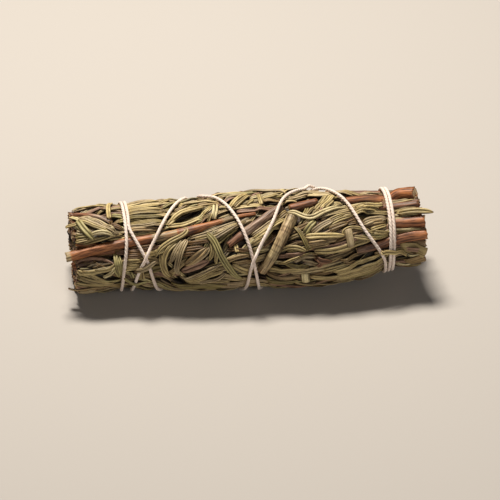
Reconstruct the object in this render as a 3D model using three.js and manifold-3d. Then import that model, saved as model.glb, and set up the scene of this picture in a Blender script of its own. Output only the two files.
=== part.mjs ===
// A smudge stick: a hand-length bundle of dried, rosemary-like sprigs, bare twigs and loose leaves, bound with one
// cotton string that spirals from the left ring to the right ring and back, and is knotted behind.
// Millimetres. +X runs along the stick, +Z is up, -Y is the front, and the origin lies on the table under the middle.
// A place on the stick is given by x and by the degrees round it: 0 is the top, 90 the front, 180 the underside.
import * as THREE from "three";
import { mergeVertices } from "three/addons/utils/BufferGeometryUtils.js";
import Module from "manifold-3d";

const wasm = await Module();
wasm.setup();

// --- Driving dimensions ---

const STRING_RADIUS = 0.48;
const TOUCH = 0.2; // the gap left between pieces that touch
const STRING_HEIGHT = TOUCH + STRING_RADIUS; // of the string's centre above the packed sprigs
const TABLE_GAP = 2 * STRING_RADIUS + 0.25; // the string passes between the sprigs and the table
const LEAF_THICKNESS = 0.75;

// The packed sprigs' oval section along the stick: x, half height, half depth, height of the middle above the table.
const GIRTH = [
  [-52, 11.0, 12.3, 11.8],
  [-36, 11.7, 12.4, 12.8],
  [-20, 12.0, 13.3, 12.7],
  [-8, 12.6, 14.2, 13.0],
  [8, 12.8, 14.5, 13.2],
  [22, 12.7, 14.5, 13.4],
  [34, 11.8, 13.2, 14.1],
  [42, 10.7, 11.7, 15.3],
  [54, 10.3, 11.0, 16.7],
];
// The two cuts. The left one is a little askew and faces the front; the right one leaves sprigs a little uneven.
const LEFT_CUT = { x: -50, slant: -0.08, stemOut: 0.6 };
const RIGHT_CUT = { x: 48.8, uneven: 1.6, stemOut: 0.9 };

// The leafy sprigs stand in rings round the middle: how many, how far out as a share of the section, the first's
// degrees, and how many sides each has.
const RINGS = [
  { name: "sprig_centre", count: 1, share: 0, first: 0, sides: 10 },
  { name: "sprig_inner", count: 5, share: 0.42, first: 10, sides: 10 },
  { name: "sprig_outer", count: 10, share: 0.8, first: 18, sides: 12 },
];
const SPRIG_STEPS = 12;
const SPRIG_SWAY = 14; // degrees that an outer sprig wanders round the stick along its length
const LOWEST_SPRIG = 2.2; // of a sprig's middle above the underside
const STEM = { radius: 1.35, length: 4, sides: 8 };

// The string's route: degrees wound since the top of the first turn, and x. It runs along the stick and back again.
const STRING_ROUTE = [
  [-90, -36.4], [-60, -36.6], [-35, -36.1], [32, -35.1], [57, -35.1], [100, -36.3], [145, -36.8],
  [235, -35.6], [270, -35.1], [325, -35.0], [355, -34.6], [372, -34.3],
  [391, -34.1], [404, -32.9], [435, -29.4], [453, -28.2], [505, -25.6],
  [595, -19.5], [635, -14.6], [685, -12.6], [702, -8.8], [742, -3.7], [776, -0.5], [803, 1.2], [832, 2.4], [865, 3.4],
  [955, 10.8], [1010, 18.2], [1056, 24.6], [1081, 27.9], [1127, 32.7], [1158, 37.1], [1178, 39.0], [1203, 39.5],
  [1225, 39.5], [1315, 39.3], [1405, 39.75], [1440, 40.25], [1496, 40.8], [1533, 40.65], [1585, 40.6],
  [1675, 40.6], [1765, 40.75], [1800, 41.25], [1856, 41.8], [1893, 41.65], [1945, 41.65],
  [1975, 41.2], [1990, 39.9], [2035, 33.0], [2080, 24.5], [2119, 17.4], [2143, 12.6], [2159, 10.3], [2194, 7.0],
  [2222, 3.1], [2242, 0.5], [2300, -1.8], [2395, -10.0], [2435, -14.6], [2485, -17.8], [2504, -19.8], [2565, -26.6],
  [2590, -29.7], [2614, -32.0], [2638, -33.2], [2665, -33.8], [2740, -34.0], [2790, -34.2],
];
// Where the string rides over a turn that it wound before: degrees wound, and the degrees on each side of the hump.
const STRING_HUMPS = [[1987, 34], [2105, 26], [2238, 24], [2435, 22], [2591, 24]];
const HUMP_HEIGHT = 2 * STRING_RADIUS + 0.15;
const STRING_STEPS = 200;
const STRING_SIDES = 8;
// The knot lies on the back, and both ends of the string rise to it over these degrees.
const KNOT = { x: -35.2, degrees: 270, along: 1.9, out: 1.7, round: 1.3, rise: 25 };
const TAILS = [
  [[-35.2, 270], [-38.5, 268], [-42.5, 261]],
  [[-35.2, 270], [-31.0, 273], [-27.2, 281]],
];

// Bare woody twigs: name, and the places on their route as x, degrees, radius, and the top's height above the
// packed sprigs.
const TWIGS = [
  [
    "twig_long_front",
    [
      [-52.3, 64, 1.4, 0.3], [-40, 54, 1.4, 0.1], [-26, 44.5, 1.4, 0.2], [-16, 36, 1.35, 0.3], [-10, 29.5, 0.95, 0],
      [-3, 21, 0.6, 0], [2, 18, 0.5, 0],
    ],
  ],
  [
    "twig_top_right_thick",
    [[29, -2, 1.3, 0.3], [35, -8, 1.6, 0.3], [40.9, -13, 1.9, -0.3], [44.2, -14, 1.95, 1.3], [48.6, -6, 2.2, 2]],
  ],
  ["twig_top_right_thin", [[38, 16, 1, 0], [49.2, 16, 1.15, 0.1]]],
  ["twig_right_front", [[41.5, 47, 1.5, 0], [46, 48, 1.65, 0.1], [50.6, 50, 1.85, 0.5]]],
  [
    "twig_right_low",
    [
      [31, 78, 0.9, -0.2], [35, 76.5, 1.2, 0], [38, 75.5, 1.35, 0], [45, 72, 1.5, 0.2], [51, 72, 1.5, 0.4],
    ],
  ],
  ["twig_ringed_front", [[12.8, 25, 1.75, 0.6], [8.9, 59, 1.6, 0.6], [3.6, 97, 1.5, 0]]],
  ["twig_stub_top", [[12.4, 9, 1.3, 0.2], [20, -1, 1.3, 0.4]]],
  ["twig_top_left", [[-49.6, -20, 0.9, 0], [-46, -12, 0.9, 0], [-42, 2, 0.85, 0], [-39.5, 14, 0.8, 0]]],
  ["twig_mauve_front", [[-6, 60, 1, 0], [-1.5, 46, 1.2, 0], [3.5, 30, 1.35, 0.2], [9.6, 6, 1.2, 0]]],
  ["twig_back_long", [[51, 262, 1.7, 0], [20, 248, 1.45, 0], [-8, 240, 1.2, 0]]],
  ["twig_back_left", [[-50.6, 305, 1.5, 0], [-20, 292, 1.25, 0], [-2, 288, 1.1, 0]]],
  ["twig_back_right", [[49.6, 312, 1.9, 0.2], [24, 318, 1.3, 0]]],
];
const TWIG_SIDES = 8;
const TWIG_STEPS = 3; // between one place and the next

// Loose leaves that lie on the sprigs: name, the middle's x and degrees, heading from +X towards growing degrees,
// length, width. The stick rests on those that are named under.
const LEAVES = [
  ["leaf_top_left_stub", -39.7, -10, 92, 9, 1.4],
  ["leaf_left_pale", -46.5, 26, 54, 8, 2.1],
  ["leaf_left_short", -41.2, 35, 9, 5.4, 1.7],
  ["leaf_left_low", -43.5, 96, 25, 11, 1.8],
  ["leaf_left_upright", -38.6, 83, 92, 8, 1.4],
  ["leaf_tuft_high", -22.2, 63, 122, 7.2, 1.7],
  ["leaf_tuft_low", -19.9, 79, 98, 9, 1.8],
  ["leaf_cross_front", -7.3, 76, 56, 16, 2.1],
  ["leaf_fan_front", -15.4, 70.5, -36, 8.0, 2.3],
  ["leaf_low_front", -14.5, 113.5, -4, 16, 2.0],
  ["leaf_top_arch", -16.5, 5, -17, 10, 1.9],
  ["leaf_top_pale", -1.4, -9, -43, 7, 1.5],
  ["leaf_bent_right", 23.5, 22, -12, 10, 1.7],
  ["leaf_right_upper", 21.8, 54.6, 2, 11.2, 1.8],
  ["leaf_right_stub", 28.8, 59, 82, 4.5, 2.3],
  ["leaf_low_stub", 16, 106, 85, 3, 2.4],
  ["leaf_right_low", 30.6, 103.5, -11, 13.6, 1.9],
  ["leaf_tip_right", 48.5, 34.5, 6, 9.4, 1.9],
  ["leaf_under_left_front", -44.4, 163, 0, 11.6, 2.6],
  ["leaf_under_left_back", -44, 197, 0, 10.8, 2.6],
  ["leaf_under_middle_front", -13.4, 163, 0, 13, 2.8],
  ["leaf_under_middle_back", -14.0, 197, 0, 11, 2.8],
  ["leaf_under_right_front", 15.5, 162, 0, 16, 2.8],
  ["leaf_under_right_back", 20.5, 198, 0, 15, 2.8],
  ["leaf_back_high", 6, 330, 18, 13, 1.9],
  ["leaf_back_middle", -5.5, 262, -20, 11, 1.9],
  ["leaf_back_low", 25.5, 225, 16, 13, 2.0],
  ["leaf_back_left", -45.5, 238, 10, 9, 1.8],
];
const LEAF_SIDES = 6;
const LEAF_STEPS = 6;
const LEAF_END = 0.3; // of a leaf's width that is left at its tips

const FINISHES = {
  leafySprig: { color: 0x8c8a5e, roughness: 0.85, metalness: 0 },
  looseLeaf: { color: 0xa9a678, roughness: 0.8, metalness: 0 },
  bareWood: { color: 0x9a5f38, roughness: 0.75, metalness: 0 },
  cotton: { color: 0xe9ded2, roughness: 0.9, metalness: 0 },
};

// --- The packed bundle as a surface ---

// A smooth value at t through rows of [t, value, ...], for the value in one column.
function through(rows, t, column = 1) {
  const last = rows.length - 1;
  const next = rows.findIndex((row) => row[0] > t);
  const i = next < 0 ? last - 1 : Math.max(next - 1, 0);
  const slopeAt = (k) => {
    const before = rows[Math.max(k - 1, 0)];
    const after = rows[Math.min(k + 1, last)];
    return (after[column] - before[column]) / (after[0] - before[0]);
  };
  const [from, to] = [rows[i], rows[i + 1]];
  const span = to[0] - from[0];
  const u = THREE.MathUtils.clamp((t - from[0]) / span, 0, 1);
  return (
    from[column] * (1 + 2 * u) * (1 - u) ** 2 +
    slopeAt(i) * span * u * (1 - u) ** 2 +
    to[column] * u * u * (3 - 2 * u) +
    slopeAt(i + 1) * span * u * u * (u - 1)
  );
}

// From the section's middle to the packed sprigs' outside, before the table flattens the underside.
function ovalRadius(x, degrees) {
  const angle = THREE.MathUtils.degToRad(degrees);
  return 1 / Math.hypot(Math.cos(angle) / through(GIRTH, x, 1), Math.sin(angle) / through(GIRTH, x, 2));
}

const middle = (x) => new THREE.Vector3(x, 0, through(GIRTH, x, 3));

function outwards(degrees) {
  const angle = THREE.MathUtils.degToRad(degrees);
  return new THREE.Vector3(0, -Math.sin(angle), Math.cos(angle));
}

// The point at a height above the packed sprigs, which are flat underneath.
function onStick(x, degrees, height) {
  const point = middle(x).addScaledVector(outwards(degrees), ovalRadius(x, degrees) + height);
  point.z = Math.max(point.z, TABLE_GAP - height);
  return point;
}

// --- Solids ---

// A three.js geometry as a solid whose faces point out.
function solid(geometry) {
  const bare = new THREE.BufferGeometry().setAttribute("position", geometry.getAttribute("position"));
  bare.setIndex(geometry.index);
  const merged = mergeVertices(bare.index ? bare.toNonIndexed() : bare, 1e-4);
  const vertProperties = merged.getAttribute("position").array;
  const triVerts = new Uint32Array(merged.index.array);
  const make = () => new wasm.Manifold(new wasm.Mesh({ numProp: 3, vertProperties, triVerts }));
  const made = make();
  if (made.volume() > 0) return made;
  for (let i = 0; i < triVerts.length; i += 3) [triVerts[i], triVerts[i + 1]] = [triVerts[i + 1], triVerts[i]];
  return make();
}

// A closed cylinder moved to where place(along 0..1, angle round, share of the way out) puts its vertices.
function loft(sides, steps, place) {
  const geometry = new THREE.CylinderGeometry(1, 1, 1, sides, steps);
  const at = geometry.getAttribute("position");
  for (let i = 0; i < at.count; i++) {
    const share = Math.hypot(at.getX(i), at.getZ(i));
    const point = place(at.getY(i) + 0.5, Math.atan2(at.getX(i), at.getZ(i)), share);
    at.setXYZ(i, point.x, point.y, point.z);
  }
  return solid(geometry);
}

// A string or a stem: one radius all along a smooth path.
function evenBar(points, radius, sides, steps) {
  const path = new THREE.CatmullRomCurve3(points);
  path.arcLengthDivisions = 10 * steps;
  const section = new THREE.Shape().absarc(0, 0, radius, 0, 2 * Math.PI);
  const options = { steps, extrudePath: path, curveSegments: sides / 2, bevelEnabled: false };
  return solid(new THREE.ExtrudeGeometry(section, options));
}

// A twig: a radius of its own at each point.
function knobblyBar(points, radii, sides) {
  const steps = points.length - 1;
  const frames = points.map((point, i) => {
    const ahead = points[Math.min(i + 1, steps)].clone().sub(points[Math.max(i - 1, 0)]);
    const side = new THREE.Vector3().crossVectors(ahead, point.clone().sub(middle(point.x))).normalize();
    return { side, up: new THREE.Vector3().crossVectors(side, ahead).normalize() };
  });
  return loft(sides, steps, (along, angle, share) => {
    const i = Math.round(along * steps);
    return points[i]
      .clone()
      .addScaledVector(frames[i].side, share * radii[i] * Math.cos(angle))
      .addScaledVector(frames[i].up, share * radii[i] * Math.sin(angle));
  });
}

const group = new THREE.Group();

// Adds a solid as a named mesh, without the crumbs that a cut may leave beside it.
function add(name, made, finish) {
  const body = made.decompose().reduce((a, b) => (a.volume() > b.volume() ? a : b));
  const { vertProperties, triVerts } = body.getMesh();
  const geometry = new THREE.BufferGeometry();
  geometry.setAttribute("position", new THREE.BufferAttribute(vertProperties, 3));
  geometry.setIndex(new THREE.BufferAttribute(triVerts, 1));
  geometry.computeVertexNormals();
  const mesh = new THREE.Mesh(geometry, new THREE.MeshStandardMaterial(finish));
  mesh.name = name;
  group.add(mesh);
}

// --- The string ---

function humpHeight(wound) {
  const heights = STRING_HUMPS.map(([at, spread]) => {
    const away = Math.abs(wound - at);
    return HUMP_HEIGHT * (1 - THREE.MathUtils.smoothstep(away, spread * 0.45, spread));
  });
  return Math.max(...heights);
}

function riseToKnot(wound) {
  const fromEnd = Math.min(wound - STRING_ROUTE[0][0], STRING_ROUTE.at(-1)[0] - wound);
  return 2 * STRING_RADIUS * (1 - THREE.MathUtils.smoothstep(fromEnd, 0, KNOT.rise));
}

function cottonString() {
  const first = STRING_ROUTE[0][0];
  const last = STRING_ROUTE.at(-1)[0];
  const winding = [];
  for (let i = 0; i <= STRING_STEPS; i++) {
    const wound = THREE.MathUtils.lerp(first, last, i / STRING_STEPS);
    const height = STRING_HEIGHT + humpHeight(wound) + riseToKnot(wound);
    winding.push(onStick(through(STRING_ROUTE, wound), wound, height));
  }
  let made = evenBar(winding, STRING_RADIUS, STRING_SIDES, STRING_STEPS);
  const knotHeight = STRING_HEIGHT + 2 * STRING_RADIUS;
  const knotAt = onStick(KNOT.x, KNOT.degrees, knotHeight);
  const knot = new THREE.SphereGeometry(1, 8, 6);
  knot.scale(KNOT.along, KNOT.out, KNOT.round).translate(knotAt.x, knotAt.y, knotAt.z);
  made = made.add(solid(knot));
  for (const tail of TAILS) {
    const heights = [knotHeight, STRING_HEIGHT + STRING_RADIUS, STRING_HEIGHT];
    const route = tail.map(([x, degrees], i) => onStick(x, degrees, heights[i]));
    made = made.add(evenBar(route, STRING_RADIUS, STRING_SIDES, 5));
  }
  return made;
}

// --- Bare twigs, pressed in among the sprigs ---

// Room is how much is added all round, for the hollow that the twig lies in.
function twig(places, room = 0) {
  const steps = TWIG_STEPS * (places.length - 1);
  const vectors = places.map(([x, degrees, radius]) => new THREE.Vector3(x, degrees, radius));
  const route = new THREE.CatmullRomCurve3(vectors);
  const tops = places.map((place, i) => [i / (places.length - 1), place[3]]);
  const points = [];
  const radii = [];
  for (let i = 0; i <= steps; i++) {
    const { x, y: degrees, z: radius } = route.getPoint(i / steps);
    points.push(onStick(x, degrees, through(tops, i / steps) - radius));
    radii.push(radius + room);
  }
  const outEnd = Math.sign(points.at(-1).x - points[0].x) * room;
  points[0].x -= outEnd;
  points.at(-1).x += outEnd;
  return knobblyBar(points, radii, TWIG_SIDES);
}

// --- Loose leaves: narrow at both tips, a flat six-sided lens in section ---

function leaf(name, x, degrees, heading, length, width) {
  const under = name.startsWith("leaf_under");
  const thickness = under ? TABLE_GAP - TOUCH : LEAF_THICKNESS;
  const cosine = Math.cos(THREE.MathUtils.degToRad(heading));
  const sine = Math.sin(THREE.MathUtils.degToRad(heading));
  const arcPerDegree = THREE.MathUtils.degToRad(ovalRadius(x, degrees));
  return loft(LEAF_SIDES, LEAF_STEPS, (along, angle, share) => {
    const bulge = Math.sqrt(Math.sin(Math.PI * THREE.MathUtils.clamp(along, 0.02, 0.98)));
    const size = share * THREE.MathUtils.lerp(LEAF_END, 1, bulge);
    const forward = (along - 0.5) * length;
    const across = Math.cos(angle) * size * (width / 2);
    const px = x + forward * cosine - across * sine;
    const pointDegrees = degrees + (forward * sine + across * cosine) / arcPerDegree;
    const rise = (Math.sin(angle) / Math.sin(Math.PI / 3)) * (under ? share : size) * (thickness / 2);
    return onStick(px, pointDegrees, TOUCH + thickness / 2 + rise);
  });
}

// --- Leafy sprigs: each fills its own share of the section, and its stem stands out at both cuts ---

function sprigMiddles(x) {
  const middles = [];
  for (const ring of RINGS) {
    for (let i = 0; i < ring.count; i++) {
      const sway = ring.share * SPRIG_SWAY * Math.sin(x / 31 + i * 2.1);
      const degrees = ring.first + (360 * i) / ring.count + sway;
      const point = middle(x).addScaledVector(outwards(degrees), ring.share * ovalRadius(x, degrees));
      point.z = Math.max(point.z, TABLE_GAP + LOWEST_SPRIG);
      middles.push(point);
    }
  }
  return middles;
}

function insideBundle(point) {
  const from = point.clone().sub(middle(point.x));
  const degrees = THREE.MathUtils.radToDeg(Math.atan2(-from.y, from.z));
  return point.z > TABLE_GAP && from.length() < ovalRadius(point.x, degrees);
}

// How far a sprig reaches from its middle: to the bundle's outside, or half way to a neighbour.
function reach(middles, index, direction) {
  const own = middles[index];
  let near = 0;
  let far = 20;
  for (let i = 0; i < 24; i++) {
    const half = (near + far) / 2;
    if (insideBundle(own.clone().addScaledVector(direction, half))) near = half;
    else far = half;
  }
  for (const other of middles) {
    const between = other.clone().sub(own);
    const distance = between.length();
    const towards = distance > 0 ? direction.dot(between) / distance : 0;
    if (towards > 1e-3) near = Math.min(near, (distance - TOUCH) / 2 / towards);
  }
  return near;
}

const leftCut = (y) => LEFT_CUT.x + LEFT_CUT.slant * y;
const rightCut = (index) => RIGHT_CUT.x + RIGHT_CUT.uneven * Math.sin(index * 2.4);

function sprig(index, sides) {
  const right = rightCut(index);
  const leafy = loft(sides, SPRIG_STEPS, (along, angle, share) => {
    const middles = sprigMiddles(THREE.MathUtils.lerp(LEFT_CUT.x, right, along));
    const direction = new THREE.Vector3(0, Math.cos(angle), Math.sin(angle));
    const point = middles[index].clone().addScaledVector(direction, share * reach(middles, index, direction));
    point.x += (1 - along) * (leftCut(point.y) - LEFT_CUT.x);
    return point;
  });
  const stem = (cut, out) => {
    const { y, z } = sprigMiddles(cut)[index];
    const ends = [cut - STEM.length * Math.sign(out), cut + out].map((x) => new THREE.Vector3(x, y, z));
    return evenBar(ends, STEM.radius, STEM.sides, 1);
  };
  const left = leftCut(sprigMiddles(LEFT_CUT.x)[index].y);
  return leafy.add(stem(left, -LEFT_CUT.stemOut)).add(stem(right, RIGHT_CUT.stemOut));
}

// --- Assembly ---

add("cotton_string", cottonString(), FINISHES.cotton);

for (const [name, ...place] of LEAVES) add(name, leaf(name, ...place), FINISHES.looseLeaf);

for (const [name, places] of TWIGS) add(name, twig(places), FINISHES.bareWood);
const twigRooms = TWIGS.map(([, places]) => twig(places, TOUCH));

let index = 0;
for (const { name, count, sides } of RINGS) {
  for (let i = 1; i <= count; i++) {
    const made = twigRooms.reduce((rest, room) => rest.subtract(room), sprig(index, sides));
    add(count > 1 ? `${name}_${String(i).padStart(2, "0")}` : name, made, FINISHES.leafySprig);
    index += 1;
  }
}

export default group;
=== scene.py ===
"""A smudge stick: dried, rosemary-like sprigs and bare twigs, pressed together and bound with cotton
string.

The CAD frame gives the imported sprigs, the twigs and the string's route. This script grows the real
surface on them: every leaf is a thin closed shell with a groove and rolled edges, laid on the
leaves under it, pressed down by the string, and trimmed at the two cuts. Lengths are in millimetres
until they reach a mesh. A place on the stick is x along it and the degrees round it: 0 is the top,
90 the front and 180 the underside.
"""

import math

import bpy
import numpy as np
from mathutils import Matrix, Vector


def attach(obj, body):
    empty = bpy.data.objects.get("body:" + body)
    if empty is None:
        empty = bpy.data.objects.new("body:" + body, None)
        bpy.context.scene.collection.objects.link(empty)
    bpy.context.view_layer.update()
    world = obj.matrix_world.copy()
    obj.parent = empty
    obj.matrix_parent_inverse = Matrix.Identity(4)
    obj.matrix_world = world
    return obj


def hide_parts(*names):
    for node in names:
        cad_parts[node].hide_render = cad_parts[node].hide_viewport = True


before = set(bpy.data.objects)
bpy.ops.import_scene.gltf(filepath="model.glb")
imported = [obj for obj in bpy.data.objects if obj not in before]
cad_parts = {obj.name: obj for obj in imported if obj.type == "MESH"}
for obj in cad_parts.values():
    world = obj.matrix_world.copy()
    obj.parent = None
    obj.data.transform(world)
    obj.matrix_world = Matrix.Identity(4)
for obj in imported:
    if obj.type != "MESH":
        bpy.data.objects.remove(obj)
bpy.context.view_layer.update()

MM = 0.001
rng = np.random.default_rng(20)

# --- The stick's own sizes, as the CAD frame has them ---------------------------------------------

STRING_RADIUS = 0.48
TOUCH = 0.2
STRING_HEIGHT = TOUCH + STRING_RADIUS
HUMP_HEIGHT = 2 * STRING_RADIUS + 0.15
TABLE_GAP = 2 * STRING_RADIUS + 0.25
LEFT_CUT = -50
LEFT_CUT_SLANT = -0.08
RIGHT_CUT = 48.8
# x, half height, half depth, height of the middle above the table.
GIRTH = [
    (-52, 11.0, 12.3, 11.8),
    (-36, 11.7, 12.4, 12.8),
    (-20, 12.0, 13.3, 12.7),
    (-8, 12.6, 14.2, 13.0),
    (8, 12.8, 14.5, 13.2),
    (22, 12.7, 14.5, 13.4),
    (34, 11.8, 13.2, 14.1),
    (42, 10.7, 11.7, 15.3),
    (54, 10.3, 11.0, 16.7),
]
# The string: degrees wound, and x.
STRING_ROUTE = [
    (-90, -36.4), (-60, -36.6), (-35, -36.1), (32, -35.1), (57, -35.1), (100, -36.3), (145, -36.8),
    (235, -35.6), (270, -35.1), (325, -35.0), (355, -34.6), (372, -34.3), (391, -34.1), (404, -32.9),
    (435, -29.4), (453, -28.2), (505, -25.6), (595, -19.5), (635, -14.6), (685, -12.6), (702, -8.8),
    (742, -3.7), (776, -0.5), (803, 1.2), (832, 2.4), (865, 3.4), (955, 10.8), (1010, 18.2), (1056, 24.6),
    (1081, 27.9), (1127, 32.7), (1158, 37.1), (1178, 39.0), (1203, 39.5), (1225, 39.5), (1315, 39.3),
    (1405, 39.75), (1440, 40.25), (1496, 40.8), (1533, 40.65), (1585, 40.6), (1675, 40.6), (1765, 40.75),
    (1800, 41.25), (1856, 41.8), (1893, 41.65), (1945, 41.65), (1975, 41.2), (1990, 39.9), (2035, 33.0),
    (2080, 24.5), (2119, 17.4), (2143, 12.6), (2159, 10.3), (2194, 7.0), (2222, 3.1), (2242, 0.5),
    (2300, -1.8), (2395, -10.0), (2435, -14.6), (2485, -17.8), (2504, -19.8), (2565, -26.6),
    (2590, -29.7), (2614, -32.0), (2638, -33.2), (2665, -33.8), (2740, -34.0), (2790, -34.2),
]
STRING_HUMPS = [(1987, 34), (2105, 26), (2238, 24), (2435, 22), (2591, 24)]
KNOT_X, KNOT_DEGREES, KNOT_RISE = -35.2, 270, 25
TAILS = [[(-35.2, 270), (-38.5, 268), (-42.5, 261)], [(-35.2, 270), (-31.0, 273), (-27.2, 281)]]
# The leafy sprigs' rings: name, how many, how far out as a share of the section, degrees of the first.
RINGS = [("sprig_centre", 1, 0, 0), ("sprig_inner", 5, 0.42, 10), ("sprig_outer", 10, 0.8, 18)]
SPRIG_SWAY = 14
LOWEST_SPRIG = 2.2

# --- What the surface adds to the frame's sizes ---------------------------------------------------

LEFT_OVERHANG = 0.2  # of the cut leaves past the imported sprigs
RIGHT_OVERHANG = 0.5
RIGHT_CUT_SLANT = -0.13
# Each cut: which way it faces, its x over the middle, and its slant in x to y.
CUTS = (
    (-1, LEFT_CUT - LEFT_OVERHANG, LEFT_CUT_SLANT),
    (1, RIGHT_CUT + RIGHT_OVERHANG, RIGHT_CUT_SLANT),
)


def smoothstep(value, low, high):
    """From 0 at low to 1 at high, without corners."""
    t = np.clip((np.asarray(value, float) - low) / (high - low), 0, 1)
    return t * t * (3 - 2 * t)


def through(rows, at, column=1):
    """A smooth curve through the rows' (t, value, ...) points, at one value of t or many."""
    rows = np.array(rows, float)
    t, y = rows[:, 0], rows[:, column]
    slope = np.empty_like(y)
    slope[1:-1] = (y[2:] - y[:-2]) / (t[2:] - t[:-2])
    slope[0] = (y[1] - y[0]) / (t[1] - t[0])
    slope[-1] = (y[-1] - y[-2]) / (t[-1] - t[-2])
    at = np.asarray(at, float)
    i = np.clip(np.searchsorted(t, at, side="right") - 1, 0, len(t) - 2)
    span = t[i + 1] - t[i]
    u = np.clip((at - t[i]) / span, 0, 1)
    return (
        y[i] * (1 + 2 * u) * (1 - u) ** 2
        + slope[i] * span * u * (1 - u) ** 2
        + y[i + 1] * u * u * (3 - 2 * u)
        + slope[i + 1] * span * u * u * (u - 1)
    )


GIRTH_X = np.linspace(-60, 60, 481)
HALF_HEIGHT, HALF_DEPTH, MIDDLE_Z = (through(GIRTH, GIRTH_X, column) for column in (1, 2, 3))


def oval_radius(x, degrees):
    """From the section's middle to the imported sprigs' outside."""
    angle = np.radians(degrees)
    high = np.interp(x, GIRTH_X, HALF_HEIGHT)
    deep = np.interp(x, GIRTH_X, HALF_DEPTH)
    return 1 / np.hypot(np.cos(angle) / high, np.sin(angle) / deep)


def on_stick(x, degrees, height):
    """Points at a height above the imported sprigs, which are flat underneath."""
    x, degrees, height = np.broadcast_arrays(*(np.asarray(v, float) for v in (x, degrees, height)))
    angle = np.radians(degrees)
    out = oval_radius(x, degrees) + height
    z = np.interp(x, GIRTH_X, MIDDLE_Z) + out * np.cos(angle)
    return np.stack([x, -out * np.sin(angle), np.maximum(z, TABLE_GAP - height)], axis=-1)


def unit(vectors):
    """The vectors at length 1."""
    return vectors / np.maximum(np.linalg.norm(vectors, axis=-1, keepdims=True), 1e-9)


def outward(x, degrees):
    """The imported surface's normal."""
    along = on_stick(x + 0.5, degrees, 0) - on_stick(x - 0.5, degrees, 0)
    around = on_stick(x, degrees + 2, 0) - on_stick(x, degrees - 2, 0)
    return unit(np.cross(around, along))


def sprig_middles(x):
    """Where each leafy sprig's middle is in the section at x."""
    middles = []
    for _, count, share, first in RINGS:
        for i in range(count):
            degrees = first + 360 * i / count + share * SPRIG_SWAY * math.sin(x / 31 + i * 2.1)
            angle = math.radians(degrees)
            out = share * float(oval_radius(x, degrees))
            z = float(np.interp(x, GIRTH_X, MIDDLE_Z)) + out * math.cos(angle)
            middles.append((-out * math.sin(angle), max(z, TABLE_GAP + LOWEST_SPRIG)))
    return np.array(middles)


def sprig_names():
    """The sprigs' nodes, from the middle outwards."""
    return [n if count == 1 else f"{n}_{i + 1:02d}" for n, count, _, _ in RINGS for i in range(count)]


SPRIG_NAMES = sprig_names()
INNER_COUNT = sum(count for _, count, _, _ in RINGS[:-1])
MIDDLES_STEP = 2.0
MIDDLES_X = np.arange(-54.0, 54.1, MIDDLES_STEP)
MIDDLES = np.stack([sprig_middles(x) for x in MIDDLES_X])


def nearest_sprig(point, outer=True):
    """The sprig that a point belongs to; the outside belongs to the outer ring."""
    station = round((point[0] - MIDDLES_X[0]) / MIDDLES_STEP)
    row = MIDDLES[int(np.clip(station, 0, len(MIDDLES_X) - 1))]
    first = INNER_COUNT if outer else 0
    away = np.hypot(row[first:, 0] - point[1], row[first:, 1] - point[2])
    return SPRIG_NAMES[first + int(np.argmin(away))]


# --- Closed tubes, of which everything is made ----------------------------------------------------


def channels(stations, sides, *values):
    """What each corner of a tube keeps: every value is a number or spreads over stations x sides."""
    kept = np.zeros((stations, sides, len(values)))
    for channel, value in enumerate(values):
        kept[..., channel] = value
    return kept


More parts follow.
